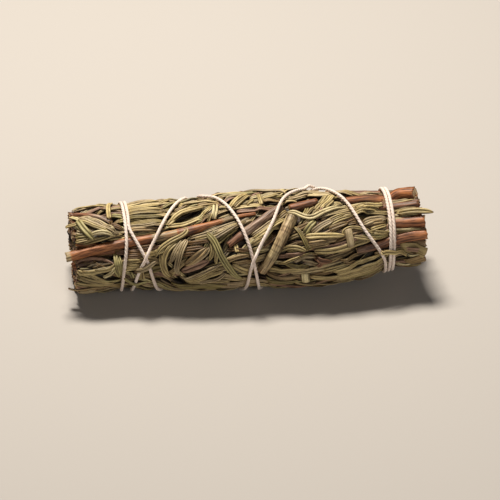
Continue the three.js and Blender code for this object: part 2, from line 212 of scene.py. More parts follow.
class Clump:
    """Collects closed tubes for one mesh. Each corner keeps a look (tint, painted shade where 1 is fully lit
    and less is darker, brown, cut) and a grain in mm."""

    def __init__(self):
        self.points, self.quads, self.tris, self.looks, self.grains = [], [], [], [], []
        self.quad_kinds, self.tri_kinds, self.cap_looks, self.cap_grains = [], [], [], []
        self.count = 0

    def tube(self, rings, look, grain, kind=0, cut=(0.0, 0.0)):
        """Rings is stations x sides x 3. Cut says how freshly cut each end is."""
        stations, sides, _ = rings.shape
        look = np.broadcast_to(look, (stations, sides, 4)).reshape(-1, 4)
        grain = np.broadcast_to(grain, (stations, sides, 3)).reshape(-1, 3)
        ends = np.stack([rings[0].mean(0), rings[-1].mean(0)])
        self.points.append(np.concatenate([rings.reshape(-1, 3), ends]))
        i, j = np.meshgrid(np.arange(stations - 1), np.arange(sides), indexing="ij")
        a = (i * sides + j).ravel()
        b = (i * sides + (j + 1) % sides).ravel()
        quads = np.stack([a, b, b + sides, a + sides], axis=1)
        self.quads.append(quads + self.count)
        self.looks.append(look[quads].reshape(-1, 4))
        self.grains.append(grain[quads].reshape(-1, 3))
        self.quad_kinds.append(np.full(len(quads), kind))
        j = np.arange(sides)
        last = (stations - 1) * sides
        for end, start, order in ((0, 0, (1, 0)), (1, last, (0, 1))):
            hub = stations * sides + end
            rim = np.stack([start + (j + order[0]) % sides, start + (j + order[1]) % sides], axis=1)
            tris = np.concatenate([rim, np.full((sides, 1), hub)], axis=1)
            self.tris.append(tris + self.count)
            cap_look = look[np.minimum(tris, len(look) - 1)].copy()
            cap_look[:, :, 3] = cut[end]
            cap_grain = grain[np.minimum(tris, len(grain) - 1)].copy()
            cap_grain[:, :, 1] = (1.0, 1.0, 0.0)
            cap_look[:, 2] = cap_look[:, 0]
            cap_grain[:, 2, [0, 2]] = cap_grain[:, 0][:, [0, 2]]
            self.cap_looks.append(cap_look.reshape(-1, 4))
            self.cap_grains.append(cap_grain.reshape(-1, 3))
            self.tri_kinds.append(np.full(sides, kind))
        self.count += stations * sides + 2

    def build(self, name, materials):
        """Makes the mesh object: sides are smooth, ends are flat."""
        points = np.concatenate(self.points) * MM
        quads, tris = np.concatenate(self.quads), np.concatenate(self.tris)
        mesh = bpy.data.meshes.new(name)
        mesh.vertices.add(len(points))
        mesh.vertices.foreach_set("co", points.astype(np.float32).ravel())
        corners = np.concatenate([quads.ravel(), tris.ravel()]).astype(np.int32)
        mesh.loops.add(len(corners))
        mesh.loops.foreach_set("vertex_index", corners)
        sizes = np.concatenate([np.full(len(quads), 4), np.full(len(tris), 3)])
        mesh.polygons.add(len(sizes))
        starts = np.concatenate([[0], np.cumsum(sizes)[:-1]]).astype(np.int32)
        mesh.polygons.foreach_set("loop_start", starts)
        kinds = np.concatenate(self.quad_kinds + self.tri_kinds).astype(np.int32)
        mesh.polygons.foreach_set("material_index", kinds)
        mesh.update(calc_edges=True)
        smooth = np.concatenate([np.ones(len(quads), bool), np.zeros(len(tris), bool)])
        mesh.polygons.foreach_set("use_smooth", smooth)
        look = mesh.attributes.new("look", "FLOAT_COLOR", "CORNER")
        looks = np.concatenate(self.looks + self.cap_looks).astype(np.float32)
        look.data.foreach_set("color", looks.ravel())
        grain = mesh.attributes.new("grain", "FLOAT_VECTOR", "CORNER")
        grains = np.concatenate(self.grains + self.cap_grains).astype(np.float32)
        grain.data.foreach_set("vector", grains.ravel())
        for material in materials:
            mesh.materials.append(material)
        mesh.validate()
        piece = bpy.data.objects.new(name, mesh)
        bpy.context.scene.collection.objects.link(piece)
        return piece


def place(piece, slot, *nodes):
    """Every piece rides on the stick's one body and stands for its CAD nodes."""
    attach(piece, "root")
    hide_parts(*nodes)


# --- Materials ------------------------------------------------------------------------------------


def linear(hex_colour):
    """An sRGB hex colour as linear RGBA."""
    parts = [int(hex_colour[i : i + 2], 16) / 255 for i in (1, 3, 5)]
    return (*(c / 12.92 if c <= 0.04045 else ((c + 0.055) / 1.055) ** 2.4 for c in parts), 1.0)


def node(tree, kind, settings=None, links=None):
    """Adds a shader node. Settings go by attribute or input name, links by input name or number."""
    made = tree.nodes.new(kind)
    for key, value in (settings or {}).items():
        if isinstance(key, int) or key in made.inputs:
            made.inputs[key].default_value = value
        else:
            setattr(made, key, value)
    for key, source in (links or {}).items():
        tree.links.new(source, made.inputs[key])
    return made


def ramp(tree, factor, stops):
    """A colour ramp with (position, hex) stops."""
    made = node(tree, "ShaderNodeValToRGB", links={"Fac": factor})
    elements = made.color_ramp.elements
    while len(elements) < len(stops):
        elements.new(0.5)
    for element, (position, colour) in zip(elements, stops):
        element.position = position
        element.color = linear(colour)
    return made.outputs["Color"]


def mixed(tree, factor, first, second, blend="MIX"):
    """Colour mixing; each of the three is a socket, a hex colour or a number."""
    made = node(tree, "ShaderNodeMix", {"data_type": "RGBA", "blend_type": blend})
    for socket, value in ((made.inputs[0], factor), (made.inputs[6], first), (made.inputs[7], second)):
        if isinstance(value, str):
            socket.default_value = linear(value)
        elif isinstance(value, (int, float)):
            socket.default_value = value
        else:
            tree.links.new(value, socket)
    return made.outputs[2]


def darkened(tree, share, colour, pattern, dark, low, high):
    """The colour, multiplied by a dark one where a pattern is low."""
    shade = ramp(tree, pattern, [(low, dark), (high, "#ffffff")])
    return mixed(tree, share, colour, shade, "MULTIPLY")


def streaks(tree, grain, spacing_along, spacing_across, detail=3.0):
    """Noise drawn out along the grain: the spacings are in mm."""
    scale = (1 / spacing_along, 1 / spacing_across, 1.0)
    at = node(tree, "ShaderNodeMapping", {"Scale": scale}, {"Vector": grain})
    stretched = {"Vector": at.outputs["Vector"]}
    noise = node(tree, "ShaderNodeTexNoise", {"Scale": 1.0, "Detail": detail}, stretched)
    return noise.outputs["Fac"]


def worn_material(name):
    """A new material, and what every corner knows of itself: look (tint, painted shade, brown), cut and
    grain."""
    material = bpy.data.materials.new(name)
    material.use_nodes = True
    tree = material.node_tree
    tree.nodes.clear()
    look = node(tree, "ShaderNodeAttribute", {"attribute_name": "look"})
    grain = node(tree, "ShaderNodeAttribute", {"attribute_name": "grain"})
    parts = node(tree, "ShaderNodeSeparateColor", links={"Color": look.outputs["Color"]})
    return material, tree, parts.outputs, look.outputs["Alpha"], grain.outputs["Vector"]


def finish(tree, colour, height, bump_depth, settings):
    """Bump of a depth in mm, and the surface."""
    bump = node(tree, "ShaderNodeBump", {"Strength": 1.0, "Distance": bump_depth * MM}, {"Height": height})
    links = {"Base Color": colour, "Normal": bump.outputs["Normal"]}
    surface = node(tree, "ShaderNodeBsdfPrincipled", settings, links)
    node(tree, "ShaderNodeOutputMaterial", links={"Surface": surface.outputs["BSDF"]})


def dried_leaf():
    """Needle leaves dried in the air: matt khaki, straw or grey, with ridges and fine veins along
    them, specks of oil glands, painted shade at the edges, in the furrows, underneath and between the
    leaves, and brown where they were cut. The ridges are drawn coarse enough to show."""
    material, tree, (tint, painted_shade_and_marks, brown), cut, grain = worn_material("air_dried_leaf")
    ridges = streaks(tree, grain, 9.0, 0.42, 2.0)
    veins = streaks(tree, grain, 4.0, 0.2, 3.0)
    blots = streaks(tree, grain, 2.6, 1.2)
    specks = streaks(tree, grain, 0.4, 0.3, 2.0)
    alive = ramp(
        tree,
        tint,
        [
            (0.0, "#b3917a"),
            (0.15, "#a2965f"),
            (0.35, "#c6b67c"),
            (0.5, "#cdb684"),
            (0.65, "#c8b68f"),
            (0.8, "#e2cd90"),
            (0.92, "#f0e2b0"),
            (1.0, "#bcb27a"),
        ],
    )
    dry = mixed(tree, brown, alive, "#855a3c")
    ridged = darkened(tree, 0.65, dry, ridges, "#5f5036", 0.38, 0.5)
    veined = darkened(tree, 0.45, ridged, veins, "#6f6146", 0.38, 0.54)
    blotted = darkened(tree, 0.4, veined, blots, "#97805a", 0.34, 0.56)
    specked = darkened(tree, 0.5, blotted, specks, "#5d4c36", 0.3, 0.4)
    # Painted shade: mixed towards near black where the look's second channel is low.
    painted_shaded = mixed(tree, painted_shade_and_marks, "#21180e", specked)
    colour = mixed(tree, cut, painted_shaded, "#a8764a")
    finish(tree, colour, ridges, 0.1, {"Roughness": 0.5, "Specular IOR Level": 0.4})
    return material


def bare_bark():
    """Thin bark of woody stems, in strips along the stem: orange where it rubbed bare, brown where it
    flakes. The cut ends are paler wood round a pith."""
    material, tree, (tint, painted_shade_and_marks, brown), cut, grain = worn_material("thin_stem_bark")
    strips = streaks(tree, grain, 4.5, 0.5, 5.0)
    fibres = streaks(tree, grain, 2.5, 0.14)
    patches = streaks(tree, grain, 6.0, 2.2)
    bark = ramp(
        tree,
        tint,
        [
            (0.0, "#c0a892"),
            (0.3, "#9c6e52"),
            (0.55, "#bd7b50"),
            (0.75, "#cf8850"),
            (0.9, "#d8bd90"),
            (1.0, "#dcc898"),
        ],
    )
    patched = mixed(tree, brown, bark, "#5f4537")
    greyed = mixed(tree, ramp(tree, patches, [(0.5, "#000000"), (0.68, "#8c8c8c")]), patched, "#a08468")
    stripped = darkened(tree, 0.85, greyed, strips, "#4a3426", 0.36, 0.6)
    fibred = darkened(tree, 0.65, stripped, fibres, "#735c48", 0.34, 0.6)
    # Painted shade: mixed towards a dark brown where the look's second channel is low, in the cracks and
    # underneath.
    painted_shaded = mixed(tree, painted_shade_and_marks, "#2b1d14", fibred)
    radius = node(tree, "ShaderNodeSeparateXYZ", links={"Vector": grain}).outputs["Y"]
    wood_stops = [(0.0, "#7d5a35"), (0.18, "#c9a873"), (0.8, "#d9bd8c"), (0.93, "#a87a4c"), (1.0, "#6f4526")]
    colour = mixed(tree, cut, painted_shaded, ramp(tree, radius, wood_stops))
    finish(tree, colour, strips, 0.12, {"Roughness": 0.5, "Specular IOR Level": 0.4})
    return material


def cotton_yarn():
    """Bleached cotton, plied and softly twisted: a warm white with fine fibres and a faint sheen."""
    material, tree, (tint, painted_shade_and_marks, _), _, grain = worn_material("plied_cotton_yarn")
    fibres = streaks(tree, grain, 1.1, 0.16)
    clean = mixed(tree, tint, "#ecdcd0", "#f8ece2")
    fibred = darkened(tree, 0.45, clean, fibres, "#cdb4a2", 0.32, 0.58)
    # Painted shade between the plies, from the look's second channel.
    colour = mixed(tree, painted_shade_and_marks, "#c4ad9a", fibred)
    settings = {"Roughness": 0.85, "Specular IOR Level": 0.2, "Sheen Weight": 0.25, "Sheen Roughness": 0.5}
    finish(tree, colour, fibres, 0.05, settings)
    return material


LEAF, BARK, YARN = dried_leaf(), bare_bark(), cotton_yarn()

# --- The string -----------------------------------------------------------------------------------

HUMP_SHARE = 0.6  # soft yarn rides over a crossing in less room than the frame's bar


def string_places(steps):
    """Degrees, x and height of the string's centre along the winding."""
    first, last = STRING_ROUTE[0][0], STRING_ROUTE[-1][0]
    wound = np.linspace(first, last, steps)
    x = through(STRING_ROUTE, wound)
    hump = np.zeros(steps)
    for at, spread in STRING_HUMPS:
        away = np.abs(wound - at) / HUMP_SHARE
        hump = np.maximum(hump, HUMP_HEIGHT * (1 - smoothstep(away, spread * 0.3, spread)))
    ends = np.minimum(wound - first, last - wound)
    rise = 2 * STRING_RADIUS * (1 - smoothstep(ends, 0, KNOT_RISE))
    return wound, x, STRING_HEIGHT + hump + rise


def even_steps(points, spacing):
    """The same path with its points a spacing apart."""
    along = np.concatenate([[0], np.cumsum(np.linalg.norm(np.diff(points, axis=0), axis=1))])
    at = np.linspace(0, along[-1], max(int(along[-1] / spacing), 4))
    return np.stack([np.interp(at, along, points[:, k]) for k in range(3)], axis=1), at


def soften(points, rounds):
    """Rounds off what is left of corners."""
    for _ in range(rounds):
        points = points.copy()
        points[1:-1] = points[1:-1] * 0.5 + (points[:-2] + points[2:]) * 0.25
    return points


PLY_COUNT = 3
PLY_RADIUS = 0.35
PLY_OFFSET = 0.13
PLY_PITCH = 3.4
PLY_SIDES = 9
PLY_STEP = 0.3
YARN_PLACES = 2400  # along the string, for the yarn
PILE_PLACES = 1500  # and for the pile


def plied(clump, points, seed=0.0):
    """Lays twisted plies round a path."""
    points, along = even_steps(points, PLY_STEP)
    points = soften(points, 3)
    tangent = unit(np.gradient(points, axis=0))
    core = points * (1.0, 0.0, 0.0)
    core[:, 2] = np.interp(points[:, 0], GIRTH_X, MIDDLE_Z)
    side = unit(np.cross(tangent, points - core))
    out = np.cross(side, tangent)
    round_it = np.linspace(0, 2 * math.pi, PLY_SIDES, endpoint=False)
    for ply in range(PLY_COUNT):
        turn = 2 * math.pi * (along / PLY_PITCH + ply / PLY_COUNT) + seed
        middle = points + PLY_OFFSET * (np.cos(turn)[:, None] * side + np.sin(turn)[:, None] * out)
        uneven = 1 + 0.05 * np.sin(along * 1.7 + ply * 2 + seed) + 0.04 * np.sin(along * 5.3 + ply)
        fat = PLY_RADIUS * uneven
        spin = turn[:, None] - round_it[None, :]
        section = np.cos(spin)[..., None] * side[:, None] + np.sin(spin)[..., None] * out[:, None]
        rings = middle[:, None] + fat[:, None, None] * section
        shade = 0.5 + 0.5 * np.sin(along * 0.23 + ply)
        # Painted shade: each ply is darker on its side towards the others, in the crevices.
        clean = np.clip(0.85 + 0.5 * np.cos(round_it), 0, 1)
        look = channels(len(points), PLY_SIDES, shade[:, None], clean, 0, 0)
        grain = channels(len(points), PLY_SIDES, along[:, None], round_it * PLY_RADIUS, ply * 7 + seed)
        clump.tube(rings, look, grain)


def knot_path():
    """A small overhand knot pulled tight, as a squashed trefoil."""
    t = np.linspace(0.35, 2 * math.pi + 0.05, 90)
    flat = np.stack([np.sin(t) + 2 * np.sin(2 * t), np.cos(t) - 2 * np.cos(2 * t), -np.sin(3 * t)], axis=1)
    centre = on_stick(KNOT_X, KNOT_DEGREES, STRING_HEIGHT + 1.6 * STRING_RADIUS)
    return centre + flat[:, [0, 2, 1]] * np.array([0.62, 0.7, 0.42])


def cotton_string():
    """The winding, the knot and its two tails."""
    clump = Clump()
    wound, x, height = string_places(YARN_PLACES)
    plied(clump, on_stick(x, wound, height))
    plied(clump, knot_path(), 1.0)
    for i, tail in enumerate(TAILS):
        rows = [(k, a, b) for k, (a, b) in enumerate(tail)]
        t = np.linspace(0, len(tail) - 1, 40)
        high = STRING_HEIGHT + 2 * STRING_RADIUS * (1 - smoothstep(t, 0, 1.4)) + 0.4 * smoothstep(t, 1.2, 2)
        plied(clump, on_stick(through(rows, t, 1), through(rows, t, 2), high), 2.0 + i)
    place(clump.build("cotton_string_yarn", [YARN]), "cotton", "cotton_string")


# --- The pile: how high the leaves reach, all over the stick --------------------------------------


class Pile:
    """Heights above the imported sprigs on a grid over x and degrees, and the ceiling that leaves stay
    under."""

    STEP_X = 0.35  # mm along the stick
    STEP_D = 1.5  # degrees round it
    BOTTOM = -2.3  # about the height of the pressed inside, painted dark as shade, on which the lowest leaves lie
    REACH_X = 58  # mm of the stick to each side of its middle
    MEAN_RADIUS = 13.3
    ARC = math.radians(MEAN_RADIUS) * STEP_D  # mm round the stick in one step
    TABLE_ROOM = 0.25  # what a leaf's swollen halves need between the pile and the table

    def __init__(self):
        self.nx = int(2 * self.REACH_X / self.STEP_X)
        self.nd = int(360 / self.STEP_D)
        self.height = np.full((self.nx, self.nd), self.BOTTOM)
        x = (np.arange(self.nx) + 0.5)[:, None] * self.STEP_X - self.REACH_X
        degrees = (np.arange(self.nd) + 0.5)[None, :] * self.STEP_D
        down = np.maximum(-np.cos(np.radians(degrees)), 0.1)
        reach = np.interp(x, GIRTH_X, MIDDLE_Z) / down - oval_radius(x, degrees)
        self.table = np.maximum(reach, TABLE_GAP) - self.TABLE_ROOM
        self.ceiling = self.table

    def allow(self, ceiling):
        """Leaves may reach a ceiling, but not the table."""
        self.ceiling = np.minimum(ceiling, self.table)

    def cells(self, x, degrees):
        """The grid's cells at the places."""
        i = np.clip(((np.asarray(x) + self.REACH_X) / self.STEP_X).astype(int), 0, self.nx - 1)
        j = (np.mod(degrees, 360) / self.STEP_D).astype(int) % self.nd
        return i, j

    def raise_to(self, x, degrees, height):
        """Brings the pile up to a height wherever it is lower."""
        i, j = self.cells(x, degrees)
        np.maximum.at(self.height, (i.ravel(), j.ravel()), np.broadcast_to(height, i.shape).ravel())

    def near(self, x, degrees, reach):
        """For each place, the cells within reach and how far away they are."""
        wide, high = int(reach / self.STEP_X) + 1, int(reach / self.ARC) + 1
        di, dj = np.meshgrid(np.arange(-wide, wide + 1), np.arange(-high, high + 1), indexing="ij")
        away = np.hypot(di * self.STEP_X, dj * self.ARC)
        for i, j in zip(*self.cells(x, degrees)):
            inside = (i + di >= 0) & (i + di < self.nx) & (away <= reach)
            yield ((i + di)[inside], (j + dj[inside]) % self.nd), away[inside]

    def lower_ceiling(self, x, degrees, low, rise, reach, flat):
        """The ceiling is low round the places, and rises by rise between flat and reach mm away."""
        for (where, away), floor in zip(self.near(x, degrees, reach), np.broadcast_to(low, np.shape(x))):
            limit = floor + rise * smoothstep(away, flat, reach)
            self.ceiling[where] = np.minimum(self.ceiling[where], limit)

    def bury(self, x, degrees, height, radius):
        """Adds a round thing that lies there, with its centre at a height."""
        for (where, away), level in zip(self.near(x, degrees, radius), np.broadcast_to(height, np.shape(x))):
            top = level + np.sqrt(np.clip(radius**2 - away**2, 0, None))
            self.height[where] = np.maximum(self.height[where], top)


def levelled(height):
    """The pile's height evened out over about a leaf's width."""
    for axis in (0, 1):
        for _ in range(2):
            height = sum(np.roll(height, shift, axis) for shift in (-2, -1, 0, 1, 2)) / 5
    return height


def settle(under, rounds=14):
    """How a thin stiff thing lies on bumps: it touches the highest and bridges the rest."""
    lie = under.copy()
    for _ in range(rounds):
        bent = lie.copy()
        bent[1:-1] = (lie[:-2] + lie[2:]) / 2
        bent[0] = 2 * lie[1] - lie[2]
        bent[-1] = 2 * lie[-2] - lie[-3]
        lie = np.maximum(under, bent)
    return lie


# --- Leaves ---------------------------------------------------------------------------------------

# Sections of a leaf: across from -1 to 1, height as a share of the thickness, and the painted light,
# where less is painted shade at the rolled edges, in the furrows and underneath. The upper side has a
# furrow between two swollen halves; the lower side shows its midrib between the rolled margins. Buried
# leaves and those at the cuts are plain.
UPPER = np.array([
    (-1, 0.0, 0.15), (-0.88, 0.42, 0.9), (-0.62, 0.64, 1), (-0.3, 0.58, 1), (-0.1, 0.3, 0.6),
    (0, 0.16, 0.35), (0.1, 0.3, 0.6), (0.3, 0.58, 1), (0.62, 0.64, 1), (0.88, 0.42, 0.9), (1, 0.0, 0.15),
    (0.6, -0.26, 0.1), (0, -0.32, 0.1), (-0.6, -0.26, 0.1),
])
LOWER = np.array([
    (-1, 0.0, 0.15), (-0.88, 0.46, 0.9), (-0.64, 0.56, 1), (-0.44, 0.38, 0.9), (-0.33, 0.16, 0.3),
    (-0.22, 0.38, 0.9), (0, 0.66, 1), (0.22, 0.38, 0.9), (0.33, 0.16, 0.3), (0.44, 0.38, 0.9),
    (0.64, 0.56, 1), (0.88, 0.46, 0.9), (1, 0.0, 0.15), (0.6, -0.26, 0.1), (0, -0.32, 0.1),
    (-0.6, -0.26, 0.1),
])
PLAIN = np.array([
    (-1, 0.02, 0.1), (-0.6, 0.6, 1), (0, 0.3, 0.4), (0.6, 0.6, 1), (1, 0.02, 0.1),
    (0.5, -0.28, 0.1), (-0.5, -0.28, 0.1),
])
BROAD = np.array([
    (-1, 0.05, 0.3), (-0.85, 0.5, 1), (-0.5, 0.8, 0.85), (-0.2, 0.86, 1), (0.15, 0.9, 0.8), (0.5, 0.8, 1),
    (0.85, 0.5, 0.9), (1, 0.05, 0.3), (0.5, -0.28, 0.1), (-0.5, -0.28, 0.1),
])

STEP = 0.4  # mm between the places on a leaf's path
THICKNESS = 0.55
LOOSE_THICKNESS = 0.75


def arc(x, degrees):
    """mm round the stick in one degree."""
    return np.radians(oval_radius(x, degrees))


def bent_line(x, degrees, heading, length, bend):
    """A path through its own middle, that turns by bend degrees from end to end."""
    steps = max(int(length / STEP), 8)
    t = np.linspace(-0.5, 0.5, steps)
    turn = np.radians(heading + bend * t)
    forward = np.cumsum(np.cos(turn)) * length / (steps - 1)
    across = np.cumsum(np.sin(turn)) * length / (steps - 1)
    half = steps // 2
    return x + forward - forward[half], degrees + (across - across[half]) / arc(x, degrees)


def smooth_line(places):
    """A path through places of x, degrees and any further values, in even steps."""
    rows = [(k, *p) for k, p in enumerate(places)]
    t = np.linspace(0, len(places) - 1, 120)
    values = [through(rows, t, column) for column in range(1, len(rows[0]))]
    x, degrees = values[:2]
    far = np.concatenate([[0], np.cumsum(np.hypot(np.diff(x), np.diff(degrees) * arc(x, degrees)[1:]))])
    at = np.linspace(0, far[-1], max(int(far[-1] / STEP), 8))
    return tuple(np.interp(at, far, value) for value in values)


class Path:
    """The middle line of a leaf over the stick, with what is needed to step to its sides."""

    def __init__(self, x, degrees):
        self.x, self.degrees = x, degrees
        self.along = np.linspace(0, 1, len(x))
        self.arc = arc(x, degrees)
        ahead = np.arctan2(np.gradient(degrees) * self.arc, np.gradient(x))
        self.sine, self.cosine = np.sin(ahead), np.cos(ahead)

    def beside(self, across):
        """Places across mm to the side of the path."""
        return (
            self.x[:, None] - self.sine[:, None] * across[None, :],
            self.degrees[:, None] + (self.cosine / self.arc)[:, None] * across[None, :],
        )


class Leaf(Path):
    """One leaf: its path, its sizes and its colour. Foot and tip are the shares of its length over
    which it widens and narrows, and near 0 where it was cut."""

    def __init__(self, line, width, tint, brown=0.0, section=UPPER, thickness=THICKNESS, foot=0.12, tip=0.38,
                 roll=0.0, twist=0.0, droop=0.35, trim=(0.0, 0.0)):
        super().__init__(*line)
        self.width, self.thickness, self.section = width, thickness, section
        self.tint, self.brown, self.foot, self.tip = tint, brown, foot, tip
        self.roll, self.twist, self.droop, self.trim = roll, twist, droop, trim
        self.length = STEP * len(self.x)
        self.seed = float(rng.uniform(0, 400))
        self.heights = None

    def share(self, along):
        """Of the full width."""
        rise = np.clip(along / self.foot, 0, 1)
        fall = np.clip((1 - along) / self.tip, 0, 1)
        widening = 0.35 + 0.65 * np.sqrt(1 - (1 - rise) ** 2)
        narrowing = 0.1 + 0.9 * (1 - (1 - fall) ** 2) ** 0.8
        return np.minimum(widening, narrowing)


END_SHARE = 0.14  # of a leaf at each end, which may go in under what lies there
PRESS = 0.7  # of its thickness that a pressed leaf adds to the pile
# Across a laid leaf: shares of its width, and of the pressed thickness by which it raises the pile there.
CROWN_ACROSS = np.linspace(-0.48, 0.48, 7)
CROWN = np.array([0.45, 0.85, 1.0, 0.8, 1.0, 0.85, 0.45])


def lie_of(pile, path, width, thickness):
    """How a leaf would lie, how far it would stand above the ceiling, and how much of it would hang in
    the air."""
    cells = pile.cells(*path.beside(np.array([-0.36, 0.0, 0.36]) * width))
    under = pile.height[cells].max(axis=1)
    limit = pile.ceiling[cells].min(axis=1) - PRESS * thickness
    inner = (path.along > END_SHARE) & (path.along < 1 - END_SHARE)
    excess = float((under - limit)[inner].max())
    lie = settle(np.minimum(under, limit))
    lie = np.minimum(lie, np.maximum(limit, pile.BOTTOM))
    return lie, excess, float((lie - under).clip(0).mean())


def lay(pile, leaf, lie):
    """Lets the leaf down and adds it to the pile."""
    lie = lie.copy()
    lie[1:-1] = (lie[:-2] + 2 * lie[1:-1] + lie[2:]) / 4
    lie -= leaf.droop * ((1 - smoothstep(leaf.along, 0, 0.2)) + 0.5 * smoothstep(leaf.along, 0.85, 1))
    leaf.heights = lie
    share = leaf.share(leaf.along)
    crown = CROWN * PRESS * leaf.thickness
    keep = share > 0.4
    x, degrees = leaf.beside(CROWN_ACROSS * leaf.width)
    pile.raise_to(x[keep], degrees[keep], (lie[:, None] + crown[None, :])[keep])


LIFT = 0.32  # of its thickness that a leaf's middle line is above where it lies
PAINTED_SHADE = 0.94  # how much darker a leaf is painted where others lie over it: painted shade between the leaves
PAINTED_SHADE_DEPTH = (0.05, 0.65)
LEAST_PLACES = 5  # on its path that a trimmed leaf keeps, or it is left out


def leaf_tube(clump, leaf, stations, pile, level):
    """Adds the laid leaf to a clump, trimmed where it would reach past a cut. It is painted darker below the
    level: painted shade between the leaves."""
    y = on_stick(leaf.x, leaf.degrees, 0)[:, 1]
    left, right = (cut_x + slant * y for _, cut_x, slant in CUTS)
    inside = (leaf.x > left - leaf.trim[0]) & (leaf.x < right + leaf.trim[1])
    if inside.sum() < LEAST_PLACES:
        return
    low, high = leaf.along[inside][[0, -1]]
    cut = (float(low > 0 or leaf.foot < 0.05), float(high < 1 or leaf.tip < 0.05))
    spread = 0.5 - 0.5 * np.cos(np.linspace(0, 1, stations) * math.pi)
    at = low + (high - low) * (0.55 * spread + 0.45 * np.linspace(0, 1, stations))
    px, pd, ph = (np.interp(at, leaf.along, v) for v in (leaf.x, leaf.degrees, leaf.heights))
    share = leaf.share(at)
    width, thick = leaf.width * share, leaf.thickness * (0.45 + 0.55 * share)
    centre = on_stick(px, pd, ph + LIFT * thick)
    tangent = unit(np.gradient(centre, axis=0))
    up = outward(px, pd)
    side = unit(np.cross(up, tangent))
    up = np.cross(tangent, side)
    angle = np.radians(leaf.roll + leaf.twist * (at - 0.5))[:, None]
    side, up = side * np.cos(angle) + up * np.sin(angle), up * np.cos(angle) - side * np.sin(angle)
    a, b, clean = leaf.section[::-1].T
    rings = (
        centre[:, None]
        + side[:, None] * (a[None, :, None] * width[:, None, None] / 2)
        + up[:, None] * (b[None, :, None] * thick[:, None, None])
    )
    beside = -a[None, :] * width[:, None] / 2  # side points towards falling degrees
    course = (leaf.sine, leaf.cosine, leaf.arc)
    sine, cosine, turn = (np.interp(at, leaf.along, value)[:, None] for value in course)
    cells = pile.cells(px[:, None] - sine * beside, pd[:, None] + cosine / turn * beside)
    deep = level[cells] - (ph + LIFT * thick)[:, None] - b[None, :] * thick[:, None]
    # Painted shade: darker where the leaf lies below the pile's levelled surface.
    painted_lighting = clean * (1 - PAINTED_SHADE * smoothstep(deep, *PAINTED_SHADE_DEPTH))
    withered = 0.45 * (smoothstep(at, 0.92, 1) + 0.7 * (1 - smoothstep(at, 0, 0.1)))
    brown = np.clip(leaf.brown + withered, 0, 1)
    look = channels(stations, len(a), leaf.tint, painted_lighting, brown[:, None], 0)
    grain = channels(stations, len(a), (at * leaf.length)[:, None], a * leaf.width / 2, leaf.seed)
    clump.tube(rings, look, grain, 0, cut)


# Colours of leaves: tint and brown.
MAUVE, OLIVE, KHAKI, TAN, GREY, STRAW, PALE, GREEN = (
    (0.0, 0.15), (0.15, 0.1), (0.42, 0.0), (0.5, 0.3), (0.65, 0.08), (0.8, 0.0), (0.92, 0.0), (1.0, 0.0),
)
BROWN, DARK, RUST = (0.3, 0.55), (0.22, 0.75), (0.0, 0.8)

# How the leaves lie: middle x and degrees, reach in x and in degrees, and heading from +X towards growing
# degrees.
SWATHES = [
    (-45, 15, 9, 25, 34), (-44, 50, 8, 15, 0), (-42, 78, 9, 15, -6), (-40, 100, 9, 14, 20),
    (-42, 135, 10, 18, 12), (-30, 0, 8, 30, -3), (-28, 25, 7, 18, -3), (-30, 78, 5, 20, -12),
    (-22, 68, 6, 22, -65), (-21, 100, 6, 18, 50), (-15, 85, 6, 20, -35), (-16, 10, 9, 24, -22),
    (-15, 62, 5, 9, 0), (-6, 30, 8, 16, -30), (-8, 60, 8, 16, -50), (-10, 112, 9, 16, 0),
    (-12, 140, 12, 14, 0), (4, 0, 10, 20, -12), (2, 40, 9, 18, -35), (6, 55, 8, 12, -30),
    (2, 75, 6, 10, 0), (4, 110, 9, 20, 4), (14, 75, 8, 24, -25), (14, 58, 4, 10, 0), (20, 15, 6, 20, -65),
    (18, 100, 8, 20, -10), (14, 130, 10, 20, 0), (24, 35, 8, 14, -30), (28, 62, 8, 14, -4),
    (30, 90, 8, 10, -12), (30, 108, 10, 16, -20), (36, 20, 8, 16, -10), (38, 45, 6, 14, -25),
    (44, 60, 8, 18, 2), (46, 30, 8, 20, 4), (46, 110, 8, 30, 8), (-40, 200, 14, 40, -14),
    (-14, 190, 14, 40, 10), (12, 205, 14, 40, -16), (38, 200, 14, 40, 12), (-42, 250, 12, 30, 24),
    (-18, 255, 12, 30, -30), (4, 250, 12, 30, 34), (28, 255, 14, 30, -22), (46, 260, 10, 30, 8),
    (-44, 310, 12, 30, -18), (-20, 305, 12, 30, 26), (2, 310, 12, 26, -34), (26, 300, 12, 30, 20),
    (44, 310, 10, 30, -6),
]


def heading_at(x, degrees):
    """The swathes' mean heading at a place. The nearest weigh most."""
    total = np.array([1e-9, 0.0])
    for swathe_x, swathe_degrees, reach_x, reach_degrees, heading in SWATHES:
        away = (degrees - swathe_degrees + 180) % 360 - 180
        weight = math.exp(-2 * ((x - swathe_x) / reach_x) ** 2 - 2 * (away / reach_degrees) ** 2)
        total += weight * np.array([math.cos(math.radians(heading)), math.sin(math.radians(heading))])
    return math.degrees(math.atan2(total[1], total[0]))


COMMON_COLOURS = (KHAKI, KHAKI, GREY, GREY, STRAW, PALE, OLIVE, GREEN, TAN, BROWN, MAUVE)


def random_colour():
    """Mostly khaki and grey-tan, some straw, a few olive, yellow-green or brown."""
    tint, brown = COMMON_COLOURS[rng.integers(len(COMMON_COLOURS))]
    tint = np.clip(tint + rng.normal(0, 0.05), 0, 1)
    brown = np.clip(brown + rng.normal(0.02, 0.12), 0, 0.9)
    return float(tint), float(brown)


